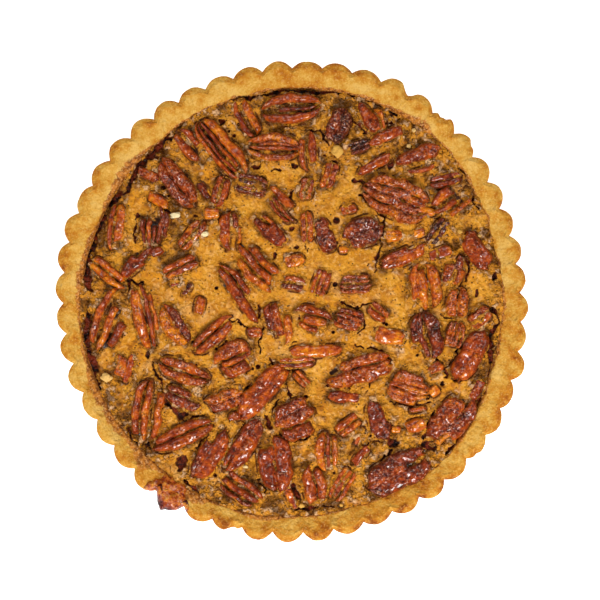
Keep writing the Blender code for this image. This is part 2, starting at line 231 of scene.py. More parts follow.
# Pastry case
# A shortcrust cup baked in a fluted tin and turned out: forty-eight flutes, a
# floor and a rim that slopes in to the filling. It is dry and sandy, pale gold
# on the rim's inner slope and browner out along the flutes and on the near side.

FLUTES = 48
COLUMNS_PER_FLUTE = 20
CREST_RADIUS = 135.0
FLUTE_DEPTH = 4.5
BASE_DRAFT = 9.0
BASE_FLUTE_DEPTH = 3.6
BASE_EDGE = 1.2
FLUTE_ROUNDNESS = 2.2
FLUTE_UNEVENNESS = 0.45
FIRST_VALLEY = 1.35
FLUTE_DRIFT = 1.35
FLUTE_DRIFT_TOWARDS = 310.0
RIM_WAVES = ((0.45, 3, 20.0), (0.45, 5, 75.0))
LIP_HEIGHT = 25.6
LIP_ROUNDING = 1.9
SHOULDER_SHARE = 0.55
SHOULDER_DROP = 1.0
RIDGE_FLUTES = 0.4
RIDGE_DRAFT = 1.6
RIDGE_BACK = 2.4
SLOPE_FOOT = 0.6
SLOPE_RISE = 0.5
SLOPE_DIP = 3.0
FLOOR_THICKNESS = 4.0
INNER_RING = 10.0
BASE_RING = 80.0
WALL_DRAFT = 2.5
ROUNDINGS = 3
DRIFT_STEPS = 6
UNEVEN_SEED = 48
OUT_OF_ROUND = ((1.10, 2, 96.35), (1.05, 3, 69.4), (1.21, 4, 63.5))
EDGE_FIRST_ANGLE = -165.0
EDGE_STEP = 30.0
EDGE_RADII = (121.0, 120.0, 122.0, 120.0, 122.5, 118.0, 117.0, 121.0, 121.5, 119.0, 117.5, 119.0)
CHIPS = ((51.0, 2.4, 2.6), (61.0, 2.6, 2.2), (41.0, 1.6, 1.6), (-104.5, 3.0, 2.4), (-40.0, 1.6, 1.2))
CUSTARD_LEVEL = 24.0
ARC_PER_DEGREE = 2.3
CHIP_CRUMBLE = 0.5
CLOUD_TABLE = 97

# Rows of points along the case's section, between one key point and the next
SECTION_ROWS = (2, 3, 2, 16, 8, 9, 14, 18, 5, 6, 2)

# Lumps on the rim and in the fluted side, as (height, size, seed), and the
# heights and radii over which they set in
RIM_LUMPS = ((0.3, 5.5, 11), (0.16, 2.2, 12))
SIDE_LUMPS = ((0.22, 4.0, 13), (0.12, 1.6, 14))
RIM_HEIGHTS, SIDE_HEIGHTS, SIDE_RADII = (12.0, 24.0), (1.5, 4.0), (118.0, 122.0)

# Where film from the filling dried on the rim: (angle, half width, reach)
FILM_ON_RIM = (
    (142.0, 14.0, 3.5), (55.0, 10.0, 3.0), (-133.0, 8.0, 4.5), (-118.0, 7.0, 5.0),
    (172.0, 14.0, 2.5), (-150.0, 22.0, 2.6), (-98.0, 16.0, 1.5))
FILM_REACH, FILM_RAGGED = 0.8, 0.8

# How toasted the pastry is, from nought to one, with painted shade in the flutes' valleys added in:
# everywhere, next to the filling, out on the flutes, in their valleys, in clouds and on the near side
TOAST, EDGE_TOAST, FLUTE_TOAST, VALLEY_SHADE, CLOUD_TOAST, NEAR_TOAST = 0.27, 0.14, 0.20, 0.20, 0.24, 0.18

PASTRY_COLOURS = ((0.0, (209, 164, 82)), (0.3, (199, 147, 57)), (0.6, (185, 121, 30)),
                  (0.85, (164, 93, 15)), (1.0, (129, 63, 9)))
PALE_SAND, BROWN_SAND = (228, 182, 104), (164, 98, 24)
DRIED_FILM, DRIED_FROTH = ((112, 56, 14), (186, 116, 40)), (214, 160, 100)


def wave(angle, height, lobes, towards):
    """A cosine with so many lobes round the flan, one of them at the angle it is towards."""
    return height * np.cos(lobes * np.radians(angle - towards))


def angle_from(angle, middle):
    """The signed turn from one direction to another, within half a circle."""
    return (np.asarray(angle) - middle + 180.0) % 360.0 - 180.0


def bump(angle, middle, half_width):
    """One at the middle, falling as a cosine to nothing a half width away."""
    share = np.clip(np.abs(angle_from(angle, middle)) / half_width, 0.0, 1.0)
    return 0.5 + 0.5 * np.cos(np.pi * share)


def ease(value, low, high):
    """Zero below low, one above high, and a smooth step between."""
    share = np.clip((value - low) / (high - low), 0.0, 1.0)
    return share * share * (3.0 - 2.0 * share)


def clouds(x, y, size, seed):
    """Smooth noise from minus one to one: random values on a square lattice, eased between its corners."""
    table = np.random.default_rng(seed).random((CLOUD_TABLE, CLOUD_TABLE)) * 2.0 - 1.0
    column, row = np.asarray(x) / size, np.asarray(y) / size
    left, low = np.floor(column).astype(int), np.floor(row).astype(int)
    a, b = column - left, row - low
    a, b = a * a * (3.0 - 2.0 * a), b * b * (3.0 - 2.0 * b)
    corner = [[table[(left + i) % CLOUD_TABLE, (low + j) % CLOUD_TABLE] for j in (0, 1)] for i in (0, 1)]
    near, far = (corner[0][j] * (1 - a) + corner[1][j] * a for j in (0, 1))
    return near * (1 - b) + far * b


def layers(x, y, lumps):
    """The sum of several layers of clouds, each given as (height, size, seed)."""
    return sum(height * clouds(x, y, size, seed) for height, size, seed in lumps)


def on_plan(radius, turn):
    """Across and up on the plan, from a radius and a turn in radians."""
    return radius * np.cos(turn), radius * np.sin(turn)


def edge_radius(angle):
    """Where the rim goes under the custard, straight between the known angles."""
    known = EDGE_FIRST_ANGLE + EDGE_STEP * np.arange(len(EDGE_RADII))
    return np.interp(angle, known, EDGE_RADII, period=360.0)


def outer_radius(angle, lobe, depth, draft):
    """The fluted outline: a circle out of round, plus the flutes, less the chips."""
    radius = CREST_RADIUS - FLUTE_DEPTH - draft + depth * lobe
    for height, lobes, towards in OUT_OF_ROUND:
        radius = radius + wave(angle, height, lobes, towards)
    crumbly = 1.0 + CHIP_CRUMBLE * clouds(angle * ARC_PER_DEGREE, angle * 0.0, 2.2, 5)
    for middle, half_width, loss in CHIPS:
        radius = radius - loss * lobe * crumbly * bump(angle, middle, half_width)
    return radius


def closed_by_poles(grid, first_pole, last_pole, count=0):
    """Points and faces of rows that close on themselves, each end shut by a pole; numbered from count."""
    rows, columns = grid.shape[:2]
    start = count + np.arange(rows * columns).reshape(rows, columns)
    ahead = np.roll(start, -1, axis=1)
    quads = np.stack([start[:-1], ahead[:-1], ahead[1:], start[1:]], axis=-1).reshape(-1, 4)
    pole = np.full(columns, count + rows * columns)
    first_cap = np.stack([pole, ahead[0], start[0]], axis=-1)
    last_cap = np.stack([start[-1], ahead[-1], pole + 1], axis=-1)
    points = np.concatenate([grid.reshape(-1, 3), [first_pole, last_pole]])
    return points, quads.tolist() + first_cap.tolist() + last_cap.tolist()


def keep_mark(piece, name, values):
    """Keep one value for each point on the mesh, for its material to read."""
    attribute = piece.data.attributes.new(name, "FLOAT", "POINT")
    filled = np.zeros(len(piece.data.vertices), dtype=np.float32)
    filled[: values.size] = values.ravel()
    attribute.data.foreach_set("value", filled)


def flute_columns():
    """The angle of every column and how far it stands out, none in a valley and one on a crest."""
    count = FLUTES * COLUMNS_PER_FLUTE
    evenly = np.arange(count) * 360.0 / count
    angle = evenly
    for _ in range(DRIFT_STEPS):
        angle = evenly + FIRST_VALLEY + wave(angle, FLUTE_DRIFT, 1, FLUTE_DRIFT_TOWARDS)
    across = (np.arange(count) % COLUMNS_PER_FLUTE) / COLUMNS_PER_FLUTE
    lobe = 1.0 - np.abs(2.0 * across - 1.0) ** FLUTE_ROUNDNESS
    size = 1.0 + FLUTE_UNEVENNESS * (np.random.default_rng(UNEVEN_SEED).random(FLUTES) - 0.5)
    return angle, lobe * np.repeat(size, COLUMNS_PER_FLUTE)


def pastry_section(angle, lobe):
    """The case's section at every angle: key points from base to rim to floor, with even steps
    between them, rounded by averaging each point with its neighbours."""
    flat = np.zeros_like(angle)
    foot = outer_radius(angle, lobe, BASE_FLUTE_DEPTH, BASE_DRAFT)
    lip = outer_radius(angle, lobe, FLUTE_DEPTH, 0.0)
    ridge = outer_radius(angle, lobe, RIDGE_FLUTES * FLUTE_DEPTH, RIDGE_DRAFT)
    top = RIM_TOP + sum(wave(angle, *row) for row in RIM_WAVES)
    edge = edge_radius(angle)
    keys = [
        (flat + INNER_RING, flat),
        (flat + BASE_RING, flat),
        (foot - BASE_EDGE, flat),
        (foot, flat + BASE_EDGE),
        (lip, flat + LIP_HEIGHT),
        (lip - SHOULDER_SHARE * LIP_ROUNDING, top - SHOULDER_DROP),
        (lip - 2.0 * LIP_ROUNDING, top - 0.1),
        (0.5 * (lip + ridge) - RIDGE_BACK, top),
        (edge + SLOPE_FOOT, flat + CUSTARD_LEVEL + SLOPE_RISE),
        (edge - SLOPE_FOOT, flat + CUSTARD_LEVEL - SLOPE_DIP),
        (edge - WALL_DRAFT, flat + FLOOR_THICKNESS),
        (flat + INNER_RING, flat + FLOOR_THICKNESS),
    ]
    keys = np.array(keys)
    rows = [start + (end - start) * (step / count)
            for start, end, count in zip(keys, keys[1:], SECTION_ROWS) for step in range(count)]
    section = np.array(rows + [keys[-1]])
    for _ in range(ROUNDINGS):
        section[1:-1] = 0.25 * section[:-2] + 0.5 * section[1:-1] + 0.25 * section[2:]
    return section[:, 0], section[:, 1], edge


def pastry_surface():
    """Coloured by the toast mark, which also holds painted shade in the flutes' valleys, with blotches and
    sand, and darker and wetter by the film mark.
    """
    skin = Surface("baked pastry")
    blotch, grain, sand = skin.noise(7.0, 3.0), skin.noise(2.2), skin.noise(1.0)
    shade = skin.mark("toast_and_shade") + (blotch - 0.5) * 1.7 + (grain - 0.5) * 0.7
    golden = skin.scale_of_colours(shade, PASTRY_COLOURS)
    golden = skin.mix(skin.ramp(sand, 0.50, 0.70, 0.0, 0.35), golden, PALE_SAND)
    golden = skin.mix(skin.ramp(sand, 0.46, 0.30, 0.0, 0.35), golden, BROWN_SAND)
    wet = skin.ramp(skin.mark("film") + (grain - 0.5) * 1.6, 0.35, 0.75)
    dried = skin.mix(skin.ramp(grain, 0.35, 0.65), *DRIED_FILM)
    dried = skin.mix(skin.ramp(sand, 0.52, 0.66, 0.0, 0.6), dried, DRIED_FROTH)
    colour = skin.mix(wet, golden, dried)
    rough = skin.ramp(wet, 0.0, 1.0, 0.75, 0.5)
    return skin.finish(colour, rough, Normal=skin.bump(grain + sand * 0.4, 0.9), Specular_IOR_Level=0.12)


def pastry_case():
    """The section turned round the flan, with lumps; its marks go by the distance from the filling."""
    angle, lobe = flute_columns()
    radius, height, edge = pastry_section(angle, lobe)
    turn = np.radians(angle)
    x, y = on_plan(radius, turn)
    side = layers(angle * ARC_PER_DEGREE, height, SIDE_LUMPS)
    height = height + layers(x, y, RIM_LUMPS) * ease(height, *RIM_HEIGHTS)
    radius = radius + side * ease(height, *SIDE_HEIGHTS) * ease(radius, *SIDE_RADII)
    x, y = on_plan(radius, turn)
    grid = np.stack([x, y, height], axis=-1)
    vertices, faces = closed_by_poles(grid, (0.0, 0.0, 0.0), (0.0, 0.0, FLOOR_THICKNESS))
    case = food_object("pastry_case", vertices, faces, pastry_surface())
    inward = radius - edge
    toast_and_shade = TOAST + EDGE_TOAST * (1.0 - ease(inward, 0.0, 4.0)) + FLUTE_TOAST * ease(inward, 4.0, 12.0)
    # Painted shade: darker in each flute's valley, out towards the flutes' edge.
    toast_and_shade = toast_and_shade + VALLEY_SHADE * (1.0 - lobe) * ease(inward, 8.0, 11.0)
    toast_and_shade = toast_and_shade + CLOUD_TOAST * clouds(x, y, 13.0, 15) + NEAR_TOAST * ease(-y, 70.0, 115.0)
    reach = 1.0 + FILM_REACH * clouds(angle * 2.1, angle * 0.0, 7.0, 16)
    for middle, half_width, far in FILM_ON_RIM:
        reach = reach + far * bump(angle, middle, half_width)
    film = 1.0 - ease(inward + FILM_RAGGED * clouds(x, y, 3.0, 17), 0.5 * reach, 1.8 * reach)
    keep_mark(case, "toast_and_shade", toast_and_shade)
    keep_mark(case, "film", film)
    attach(case, "root")
    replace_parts(case, "crust")


pastry_case()

# Pecans
# Half kernels and broken bits of pecan, laid in the case and floated up by the
# custard. Each has one to five rounded bars along it, some with wrinkled backs,
# and is orange to dark maroon under a glaze of the custard's own syrup.

CUSTARD_SWELL = 0.55
SWELL_TOWARDS = 35.0
SHRINK_WIDTH = 9.0
SHRUNK_ARCS = ((152.0, 30.0, 2.6), (-162.0, 14.0, 1.8), (-22.0, 26.0, 2.2), (68.0, 20.0, 1.0))
NUT_RISE = 0.36
NUT_LOWEST = 2.7
NUT_HIGHEST = 5.4
NUT_SINK = 1.5
NUT_SPREAD = 1.13
NUT_OVERRUN = 1.08
NUT_BODY = 0.34
NUT_BLUNTNESS = 3.4
NUT_FOOT = 0.9
NUT_UNEVENNESS = 0.08
NUT_BOW = 0.04
BARE_COVER = 0.16
TAPER = (2.1, 4.2)
SLANT = 0.12
BAR_BEND = 0.06
BAR_CUT = 0.22
BAR_HEIGHT = 0.80
WIDE_BAR_HEIGHT = 0.18
WIDE_BAR = 0.45
BAR_UNEVENNESS = (-0.06, 0.04)
GROOVE_DEPTH = 0.22
NUT_ROWS = 60
NUT_BACK_COLUMNS = 41
SMALL_ROWS = 34
SMALL_BACK_COLUMNS = 25
SMALL_BLUNTNESS = 1.8
SMALL_DRAWS = 500
SMALL_SEEDS = 20000
NUT_FOOT_COLUMNS = 7

# Ragged borders of the film on a nut, and blotches of its tone, as (height, size, seed),
# and how much its back is roughened, rippled and made lumpy where it is wrinkled
FILM_LUMPS = ((0.20, 7.0, 25), (0.16, 2.8, 23), (0.09, 1.3, 24))
TONE_BLOTCHES = ((0.14, 4.0, 21), (0.10, 1.8, 22))
ROUGHENED, RIPPLED, LUMPY = 0.12, 0.14, 0.16
BACK_ROUGHNESS = 0.06

NUT_COLOURS = ((0.0, (222, 128, 12)), (0.25, (190, 84, 6)), (0.5, (146, 50, 6)),
               (0.75, (102, 28, 8)), (1.0, (50, 12, 6)))
# The dark wrinkle colour: painted shade in the creases.
# The pale glint colour: a painted highlight mixed with pinkish sugary froth.
NUT_GRAIN, NUT_FROTH_AND_PAINTED_GLINT, NUT_CREASE_SHADE = (176, 88, 28), (230, 160, 118), (42, 11, 4)
# Painted shade in the grooves, from near black to dark brown.
NUT_GROOVE_SHADE = ((18, 6, 2), (72, 34, 10))
NUT_FILM, NUT_FROTH = ((116, 64, 14), (190, 124, 40)), (214, 158, 86)

Lie = namedtuple("Lie", "x y length width turn")
SmallNut = namedtuple("SmallNut", "x y length width turn ribs tone film wrinkle")
Look = namedtuple("Look", "film wrinkle bars")

# Small nuts, those fused to the filling's solid and a few smaller still, as
# (x, y, length, width, turn, number of bars, tone, film, wrinkle)
SMALL_NUTS = (
    (-81.8, 71.7, 12.5, 6, -20, 1, 0.35, 0.6, 0.5), (-76.5, 57, 13, 6, -30, 1, 0.2, 0.2, 0.2),
    (-50.5, 62.2, 10.5, 4.5, -60, 1, 0.8, 0.1, 0.2), (-23.8, 65.1, 17, 10.5, -10, 4, 0.7, 0.6, 0.9),
    (-41.5, 62, 16, 8, 75, 2, 0.4, 0.6, 0.5), (37, 87.5, 12, 7, 20, 3, 0.85, 0.15, 0.8),
    (46, 77.5, 20, 5.5, 29, 1, 0.4, 0.3, 0.3), (20.5, 71.5, 15, 8, 75, 2, 0.4, 0.3, 0.4),
    (7.5, 63.5, 12, 8, 75, 2, 0.4, 0.75, 0.5), (74.9, 50.8, 9.5, 4.5, -15, 1, 0.15, 0.2, 0.2),
    (-63.5, 19.5, 20, 8, 25, 2, 0.45, 0.3, 0.4), (-60, 6.5, 8, 4, 60, 1, 0.7, 0.2, 0.3),
    (-57, 37.5, 18, 8, 52, 2, 0.45, 0.75, 0.7), (7.5, 42.3, 17, 6.8, 92, 2, 0.35, 0.5, 0.4),
    (0.5, 23, 11, 7, 15, 1, 0.2, 0.6, 0.4), (0, 10.1, 12.5, 8, -10, 2, 0.4, 0.8, 0.6),
    (-46, 49.5, 8, 6.5, 0, 1, 0.2, 0.6, 0.3), (-53, -2.5, 10, 6, 80, 1, 0.35, 0.3, 0.3),
    (56.5, 37, 9, 7, 0, 1, 0.15, 0.3, 0.3), (15.5, 11, 15, 9, 70, 3, 0.42, 0.3, 0.3),
    (35, 10, 17, 10, 0, 4, 0.5, 0.6, 0.9), (71, 38.5, 7, 5, 20, 1, 0.15, 0.3, 0.3),
    (81.5, 39.5, 15, 8, 55, 2, 0.85, 0.3, 0.5), (83, 27, 12, 7.5, 20, 1, 0.5, 0.2, 0.3),
    (86, 68.5, 17, 7, 14, 2, 0.65, 0.25, 0.3), (-97, -36.5, 13, 7, 85, 1, 0.4, 0.7, 0.4),
    (31.5, -10, 15, 11, -20, 4, 0.45, 0.35, 0.9), (48, -6, 12, 8, -40, 2, 0.45, 0.4, 0.5),
    (54, -20, 18, 8.5, -8, 1, 0.2, 0.25, 0.2), (29, -54, 17, 6.5, -5, 1, 0.45, 0.3, 0.2),
    (4.5, -43.5, 11, 5.5, -45, 2, 0.25, 0.3, 0.5), (91, -19, 14, 9, 75, 4, 0.35, 0.25, 0.8),
    (105.5, -9, 13, 9, 40, 2, 0.4, 0.8, 0.5), (79.5, -50.7, 6, 5.5, 35, 1, 0.1, 0.15, 0.2),
    (-1.5, -111, 12, 4.5, -65, 1, 0.45, 0.3, 0.2), (31, -70, 15, 8, 38, 2, 0.35, 0.35, 0.3),
    (27.5, -103, 19, 9, 58, 3, 0.45, 0.45, 0.4), (38, -87, 12, 5.5, 50, 1, 0.5, 0.2, 0.2),
    (69, -70.5, 11, 8, 15, 1, 0.15, 0.3, 0.3), (103.8, -49.6, 11, 7, 60, 1, 0.5, 0.5, 0.4),
    (-77, 28, 8, 5, 20, 1, 0.7, 0.3, 0.4), (-66, 10, 7, 3, 20, 1, 0.45, 0.3, 0.3),
    (28, 29, 5, 4, 0, 1, 0.4, 0.5, 0.3), (31, 52, 9, 5, 10, 1, 0.4, 0.6, 0.4),
    (-93, -38, 16, 4, 75, 1, 0.45, 0.4, 0.3), (1, -34.5, 20, 6, 2, 2, 0.45, 0.3, 0.3),
    (80, -38, 9, 6, 30, 1, 0.4, 0.7, 0.4), (-33, -65, 7, 5, 10, 1, 0.4, 0.7, 0.4),
    (37.5, -76, 10, 3, 65, 1, 0.45, 0.3, 0.2), (58, -72.5, 5, 4, 0, 1, 0.15, 0.3, 0.2),
    (-22, -17.5, 8, 6, 0, 1, 0.4, 0.75, 0.4), (70, -61, 10, 3, 10, 1, 0.4, 0.5, 0.3),
)

# How each loose nut looks, by the number of its solid: (film, wrinkle, bars). A
# bar is (middle, half width, start, end, tone): across and along in half sizes of
# the nut, and its tone from orange at nought to maroon at one.
LOOKS = {
    1: (0.3, 0.2, ((0.58, 0.3, -1, 1, 0.55), (-0.48, 0.4, -0.95, 0.82, 0.32))),
    2: (0.2, 0.2, ((0.8, 0.16, -0.9, 1, 0.35), (0.42, 0.13, -0.8, 1, 0.55), (0.1, 0.13, -0.7, 1, 0.5),
        (-0.45, 0.33, -1, 0.95, 0.25))),
    3: (0.3, 0.3, ((0.25, 0.4, -1, 0.85, 0.45), (-0.85, 0.3, -0.4, 0.95, 0.6))),
    4: (0.12, 0.7, ((0.6, 0.42, -1, 0.9, 0.45), (-0.2, 0.48, -0.9, 1, 0.42))),
    8: (0.25, 0.2, ((0.74, 0.36, -1, 1, 0.45), (0.05, 0.15, -0.9, 0.5, 0.65),
        (-0.64, 0.36, -1, 1, 0.42))),
    9: (0.15, 0.7, ((0.62, 0.25, -0.9, 1, 0.32), (0.05, 0.15, -1, 0.9, 0.42),
        (-0.22, 0.14, -1, 0.6, 0.35), (-0.62, 0.34, -0.95, 0.9, 0.25))),
    12: (0.25, 0.3, ((1, 0.2, -0.8, 0.5, 0.5), (0.5, 0.22, -0.95, 0.55, 0.5),
        (-0.35, 0.45, -0.35, 0.95, 0.38))),
    13: (0.05, 1, ((0.35, 0.5, -0.9, 1, 0.7), (-0.42, 0.48, -0.9, 1, 0.8))),
    15: (0.25, 0.3, ((0.05, 0.58, -0.75, 1.1, 0.5), (-0.92, 0.22, -0.75, 0.3, 0.15))),
    16: (0.3, 0.3, ((-0.35, 0.8, -0.6, 1, 0.45),)),
    19: (0.3, 0.3, ((0.85, 0.38, -1, 0.6, 0.35), (-0.45, 0.48, -0.6, 1, 0.52))),
    21: (0.3, 1, ((0.72, 0.28, -1, 0.9, 0.3), (0.22, 0.24, -0.8, 1, 0.42),
        (-0.24, 0.24, -0.9, 1, 0.36), (-0.72, 0.28, -0.9, 0.9, 0.25))),
    23: (0.35, 0.3, ((0.45, 0.27, -1, 0.9, 0.4), (-0.45, 0.5, -0.6, 0.95, 0.22))),
    24: (0.15, 0.4, ((0.85, 0.18, -0.85, 0.3, 0.6), (0.4, 0.2, -1, 0.35, 0.45),
        (-0.05, 0.16, -0.8, 0.1, 0.8), (-0.4, 0.22, -0.8, 1, 0.6), (-0.82, 0.2, -0.4, 0.8, 0.75))),
    25: (0.1, 0.1, ((0, 0.75, -0.95, 0.2, 0.6), (-0.1, 0.38, -0.3, 1.1, 0.65))),
    27: (0.2, 0.3, ((0.35, 0.38, -1, 0.9, 0.15), (-0.6, 0.42, -0.8, 0.9, 0.3))),
    32: (0.2, 0.2, ((0.55, 0.52, -1.1, 0.95, 0.45), (-0.45, 0.3, 0.1, 0.95, 0.6),
        (-0.82, 0.16, -0.7, 0.2, 0.2))),
    33: (0.1, 0.2, ((0.05, 0.95, -0.9, 0.3, 0.62), (0.3, 0.5, -0.2, 1, 0.62),
        (-0.75, 0.22, 0.2, 0.8, 0.4))),
    34: (0.25, 0.3, ((0.82, 0.3, -0.85, 0.6, 0.2), (0.1, 0.3, -0.7, 1, 0.42),
        (-0.62, 0.3, -0.6, 0.65, 0.42))),
    35: (0.15, 0.3, ((0.12, 0.52, -1, 0.95, 0.55), (-0.85, 0.3, -0.2, 1.1, 0.5))),
    37: (0.2, 0.6, ((0.1, 0.9, -0.9, 1, 0.7),)),
    42: (0.36, 0.6, ((0.5, 0.65, -1.1, 0.8, 0.65), (-0.45, 0.6, -0.9, 1.1, 0.6))),
    48: (0.05, 0.3, ((0.5, 0.85, -1, 0.5, 0.4), (0.5, 0.75, 0.1, 0.95, 0.5),
        (-0.35, 0.4, -0.3, 0.9, 0.5))),
    52: (0.5, 0.8, ((0.5, 0.5, -0.8, 0.35, 0.5), (-0.2, 0.45, 0.1, 1, 0.6),
        (-0.5, 0.4, -0.8, 0.3, 0.3))),
    53: (0.1, 0.2, ((0.1, 0.88, -0.95, 0.95, 0.52),)),
    54: (0.15, 0.3, ((0.72, 0.32, -0.5, 1, 0.3), (0.15, 0.36, -1, 0.7, 0.25),
        (-0.8, 0.42, -0.9, 0.9, 0.3))),
    55: (0.2, 0.8, ((0.4, 0.42, -0.85, 0.8, 0.28), (-0.5, 0.42, -0.8, 0.95, 0.25))),
    56: (0.3, 0.3, ((0.9, 0.25, -0.65, 0.5, 0.35), (0.25, 0.25, -0.05, 1.1, 0.5),
        (-0.65, 0.42, -0.1, 0.85, 0.5))),
    57: (0.25, 0.4, ((0.95, 0.2, -0.6, 0.6, 0.45), (-0.25, 0.65, -0.95, 0.95, 0.5))),
    59: (0.28, 0.3, ((0.85, 0.3, -0.8, 1, 0.35), (0, 0.3, -1, 0.5, 0.25),
        (-0.75, 0.32, -0.7, 0.1, 0.5))),
    60: (0.2, 0.3, ((0.25, 0.45, -0.9, 0.85, 0.28), (-0.5, 0.2, -0.9, 0.95, 0.5),
        (-0.98, 0.17, -0.5, 0.6, 0.25))),
    61: (0.35, 0.5, ((0.45, 0.5, -1, 0.9, 0.08), (-0.4, 0.38, -1, 1, 0.64))),
    62: (0.2, 0.3, ((0.5, 0.48, -0.8, 1, 0.42), (-0.5, 0.36, -1, 0.9, 0.42))),
    63: (0.2, 0.6, ((0.8, 0.45, -0.95, 1, 0.38), (-0.3, 0.5, -1, 0.95, 0.36))),
    67: (0.25, 0.3, ((0.8, 0.32, -0.8, 1, 0.42), (0.05, 0.3, -1, 1, 0.32),
        (-0.9, 0.32, -0.9, 0.6, 0.42))),
    68: (0.5, 0.7, ((0.5, 0.55, -0.9, 0.9, 0.6), (-0.3, 0.35, -0.3, 0.9, 0.5))),
    69: (0.15, 0.3, ((0.75, 0.4, -0.3, 0.95, 0.62), (0.1, 0.4, -0.6, 0.95, 0.4),
        (-0.6, 0.35, -1, 0.3, 0.2))),
    70: (0.15, 0.5, ((0.75, 0.42, -0.6, 0.8, 0.42), (0.2, 0.18, -0.95, 0.7, 0.34),
        (-0.45, 0.5, -0.9, 0.2, 0.45), (-0.45, 0.45, 0.1, 1, 0.3))),
    71: (0.1, 0.3, ((0.55, 0.52, -0.95, 0.9, 0.42), (-0.28, 0.58, -1, 0.9, 0.45))),
    72: (0.1, 0.9, ((1.1, 0.5, -0.8, 0.9, 0.36), (0.2, 0.55, -0.8, 1, 0.22))),
    73: (0.2, 0.4, ((1.05, 0.28, -0.4, 0.7, 0.5), (0.4, 0.4, -0.75, 0.55, 0.28),
        (-0.5, 0.4, -1, 1.1, 0.48))),
    77: (0.1, 0.1, ((0.2, 0.95, -1, 0.95, 0.27),)),
    79: (0.3, 0.7, ((0.45, 0.6, -0.95, 1, 0.35), (-0.55, 0.38, -0.95, 0.5, 0.4))),
    82: (0.22, 0.4, ((0.65, 0.3, -0.2, 1, 0.7), (0.2, 0.25, -0.95, 1, 0.65), (-0.6, 0.52, -1, 1, 0.76))),
    85: (0.12, 0.3, ((0.4, 0.56, -1.05, 0.95, 0.52), (-0.42, 0.56, -1.05, 0.95, 0.5))),
    86: (0.08, 0.5, ((0.95, 0.3, -0.5, 0.9, 0.3), (0.5, 0.26, -0.9, 0.9, 0.28),
        (0, 0.28, -1, 0.9, 0.22), (-0.5, 0.32, -0.95, 0.8, 0.3), (-0.9, 0.25, -0.6, 0.7, 0.35))),
    89: (0.25, 0.3, ((0.45, 0.5, -1, 1, 0.42), (-0.45, 0.4, -1, 0.9, 0.42))),
    90: (0.15, 0.2, ((0.4, 0.4, -1, 0.4, 0.7), (-0.55, 0.75, -0.95, 1.1, 0.5))),
    91: (0.12, 0.3, ((0.42, 0.38, -1, 1, 0.6), (-0.55, 0.68, -1.1, 1, 0.5))),
    92: (0.15, 0.2, ((0.62, 0.56, -1, 0.6, 0.6), (-0.52, 0.62, -1.05, 0.95, 0.52))),
    93: (0.35, 0.4, ((0.85, 0.2, -0.7, 0.8, 0.6), (0.2, 0.3, -0.8, 0.85, 0.55),
        (-0.65, 0.3, -0.9, 0.75, 0.5))),
    96: (0.15, 0.7, ((0.8, 0.42, -0.7, 0.8, 0.5), (-0.05, 0.4, -1, 0.95, 0.5),
        (-0.7, 0.35, -0.8, 0.8, 0.5))),
    97: (0.2, 0.3, ((0.55, 0.45, -0.95, 1, 0.22), (-0.22, 0.2, -0.8, 1, 0.5),
        (-0.9, 0.3, -0.7, 0.8, 0.22))),
    100: (0.12, 0.4, ((0.1, 0.92, -0.9, 1, 0.75),)),
    101: (0.28, 0.4, ((0.5, 0.54, -0.75, 1.1, 0.42), (-0.55, 0.45, -0.7, 0.8, 0.42))),
    104: (0.2, 0.5, ((0.58, 0.6, -0.95, 1, 0.64), (-0.18, 0.34, -0.3, 1, 0.55),
        (-0.68, 0.48, -0.9, 0.9, 0.66))),
    107: (0.32, 0.6, ((0.48, 0.64, -0.85, 0.7, 0.5), (-0.5, 0.5, -0.5, 1.05, 0.56),
        (-0.3, 0.3, -0.9, -0.3, 0.05))),
}

# Bars for a small nut, for each number of them
BARS = {
    1: ((0.0, 0.92),),
    2: ((-0.48, 0.46), (0.48, 0.44)),
    3: ((-0.66, 0.30), (-0.02, 0.33), (0.64, 0.31)),
    4: ((-0.74, 0.25), (-0.26, 0.26), (0.24, 0.26), (0.72, 0.25)),
}

# Nuts that are wider than the room their solids have between their neighbours
WIDE_LIES = {21: Lie(57.8, 57.8, 34.5, 20.0, 158.0)}


def lie_of(node):
    """Where a solid lies, from its own points: the long way is the direction of their widest spread."""
    points = np.array([vertex.co[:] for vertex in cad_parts[node].data.vertices]) / MM
    flat = points[:, :2]
    spread = np.linalg.eigh(np.cov((flat - flat.mean(axis=0)).T))[1]
    along, across = flat @ spread[:, 1], flat @ spread[:, 0]
    middle = spread[:, 1] * 0.5 * (along.max() + along.min())
    middle = middle + spread[:, 0] * 0.5 * (across.max() + across.min())
    turn = math.degrees(math.atan2(spread[1, 1], spread[0, 1]))
    return Lie(middle[0], middle[1], np.ptp(along), np.ptp(across), turn)


def custard_top(x, y):
    """The level at which the nuts float: a slow swell, sunk along the pastry in a few arcs."""
    angle, radius = np.degrees(np.arctan2(y, x)), np.hypot(x, y)
    share = radius / CREST_RADIUS
    swell = np.cos(np.radians(2.0 * angle + SWELL_TOWARDS)) + np.sin(np.radians(3.0 * angle))
    swell = CUSTARD_SWELL * share * swell
    shrink = np.clip((radius - edge_radius(angle)) / SHRINK_WIDTH + 1.0, 0.0, 1.0)
    fall = sum(depth * bump(angle, middle, width) for middle, width, depth in SHRUNK_ARCS)
    return CUSTARD_LEVEL + swell - fall * shrink


def nut_rise(lie):
    """How far a nut stands out of the custard: a share of its width, within limits."""
    return float(np.clip(NUT_RISE * lie.width, min(NUT_LOWEST, 0.5 * lie.width), NUT_HIGHEST))


def from_nut(lie, x, y):
    """How far along and across a nut a point lies, from its middle."""
    turn = math.radians(lie.turn)
    along = (x - lie.x) * math.cos(turn) + (y - lie.y) * math.sin(turn)
    across = (y - lie.y) * math.cos(turn) - (x - lie.x) * math.sin(turn)
    return along, across


def half_sizes(lie):
    """Half a nut's length and width as it is dressed, a little larger than its solid."""
    return 0.5 * NUT_SPREAD * lie.length, 0.5 * NUT_SPREAD * lie.width


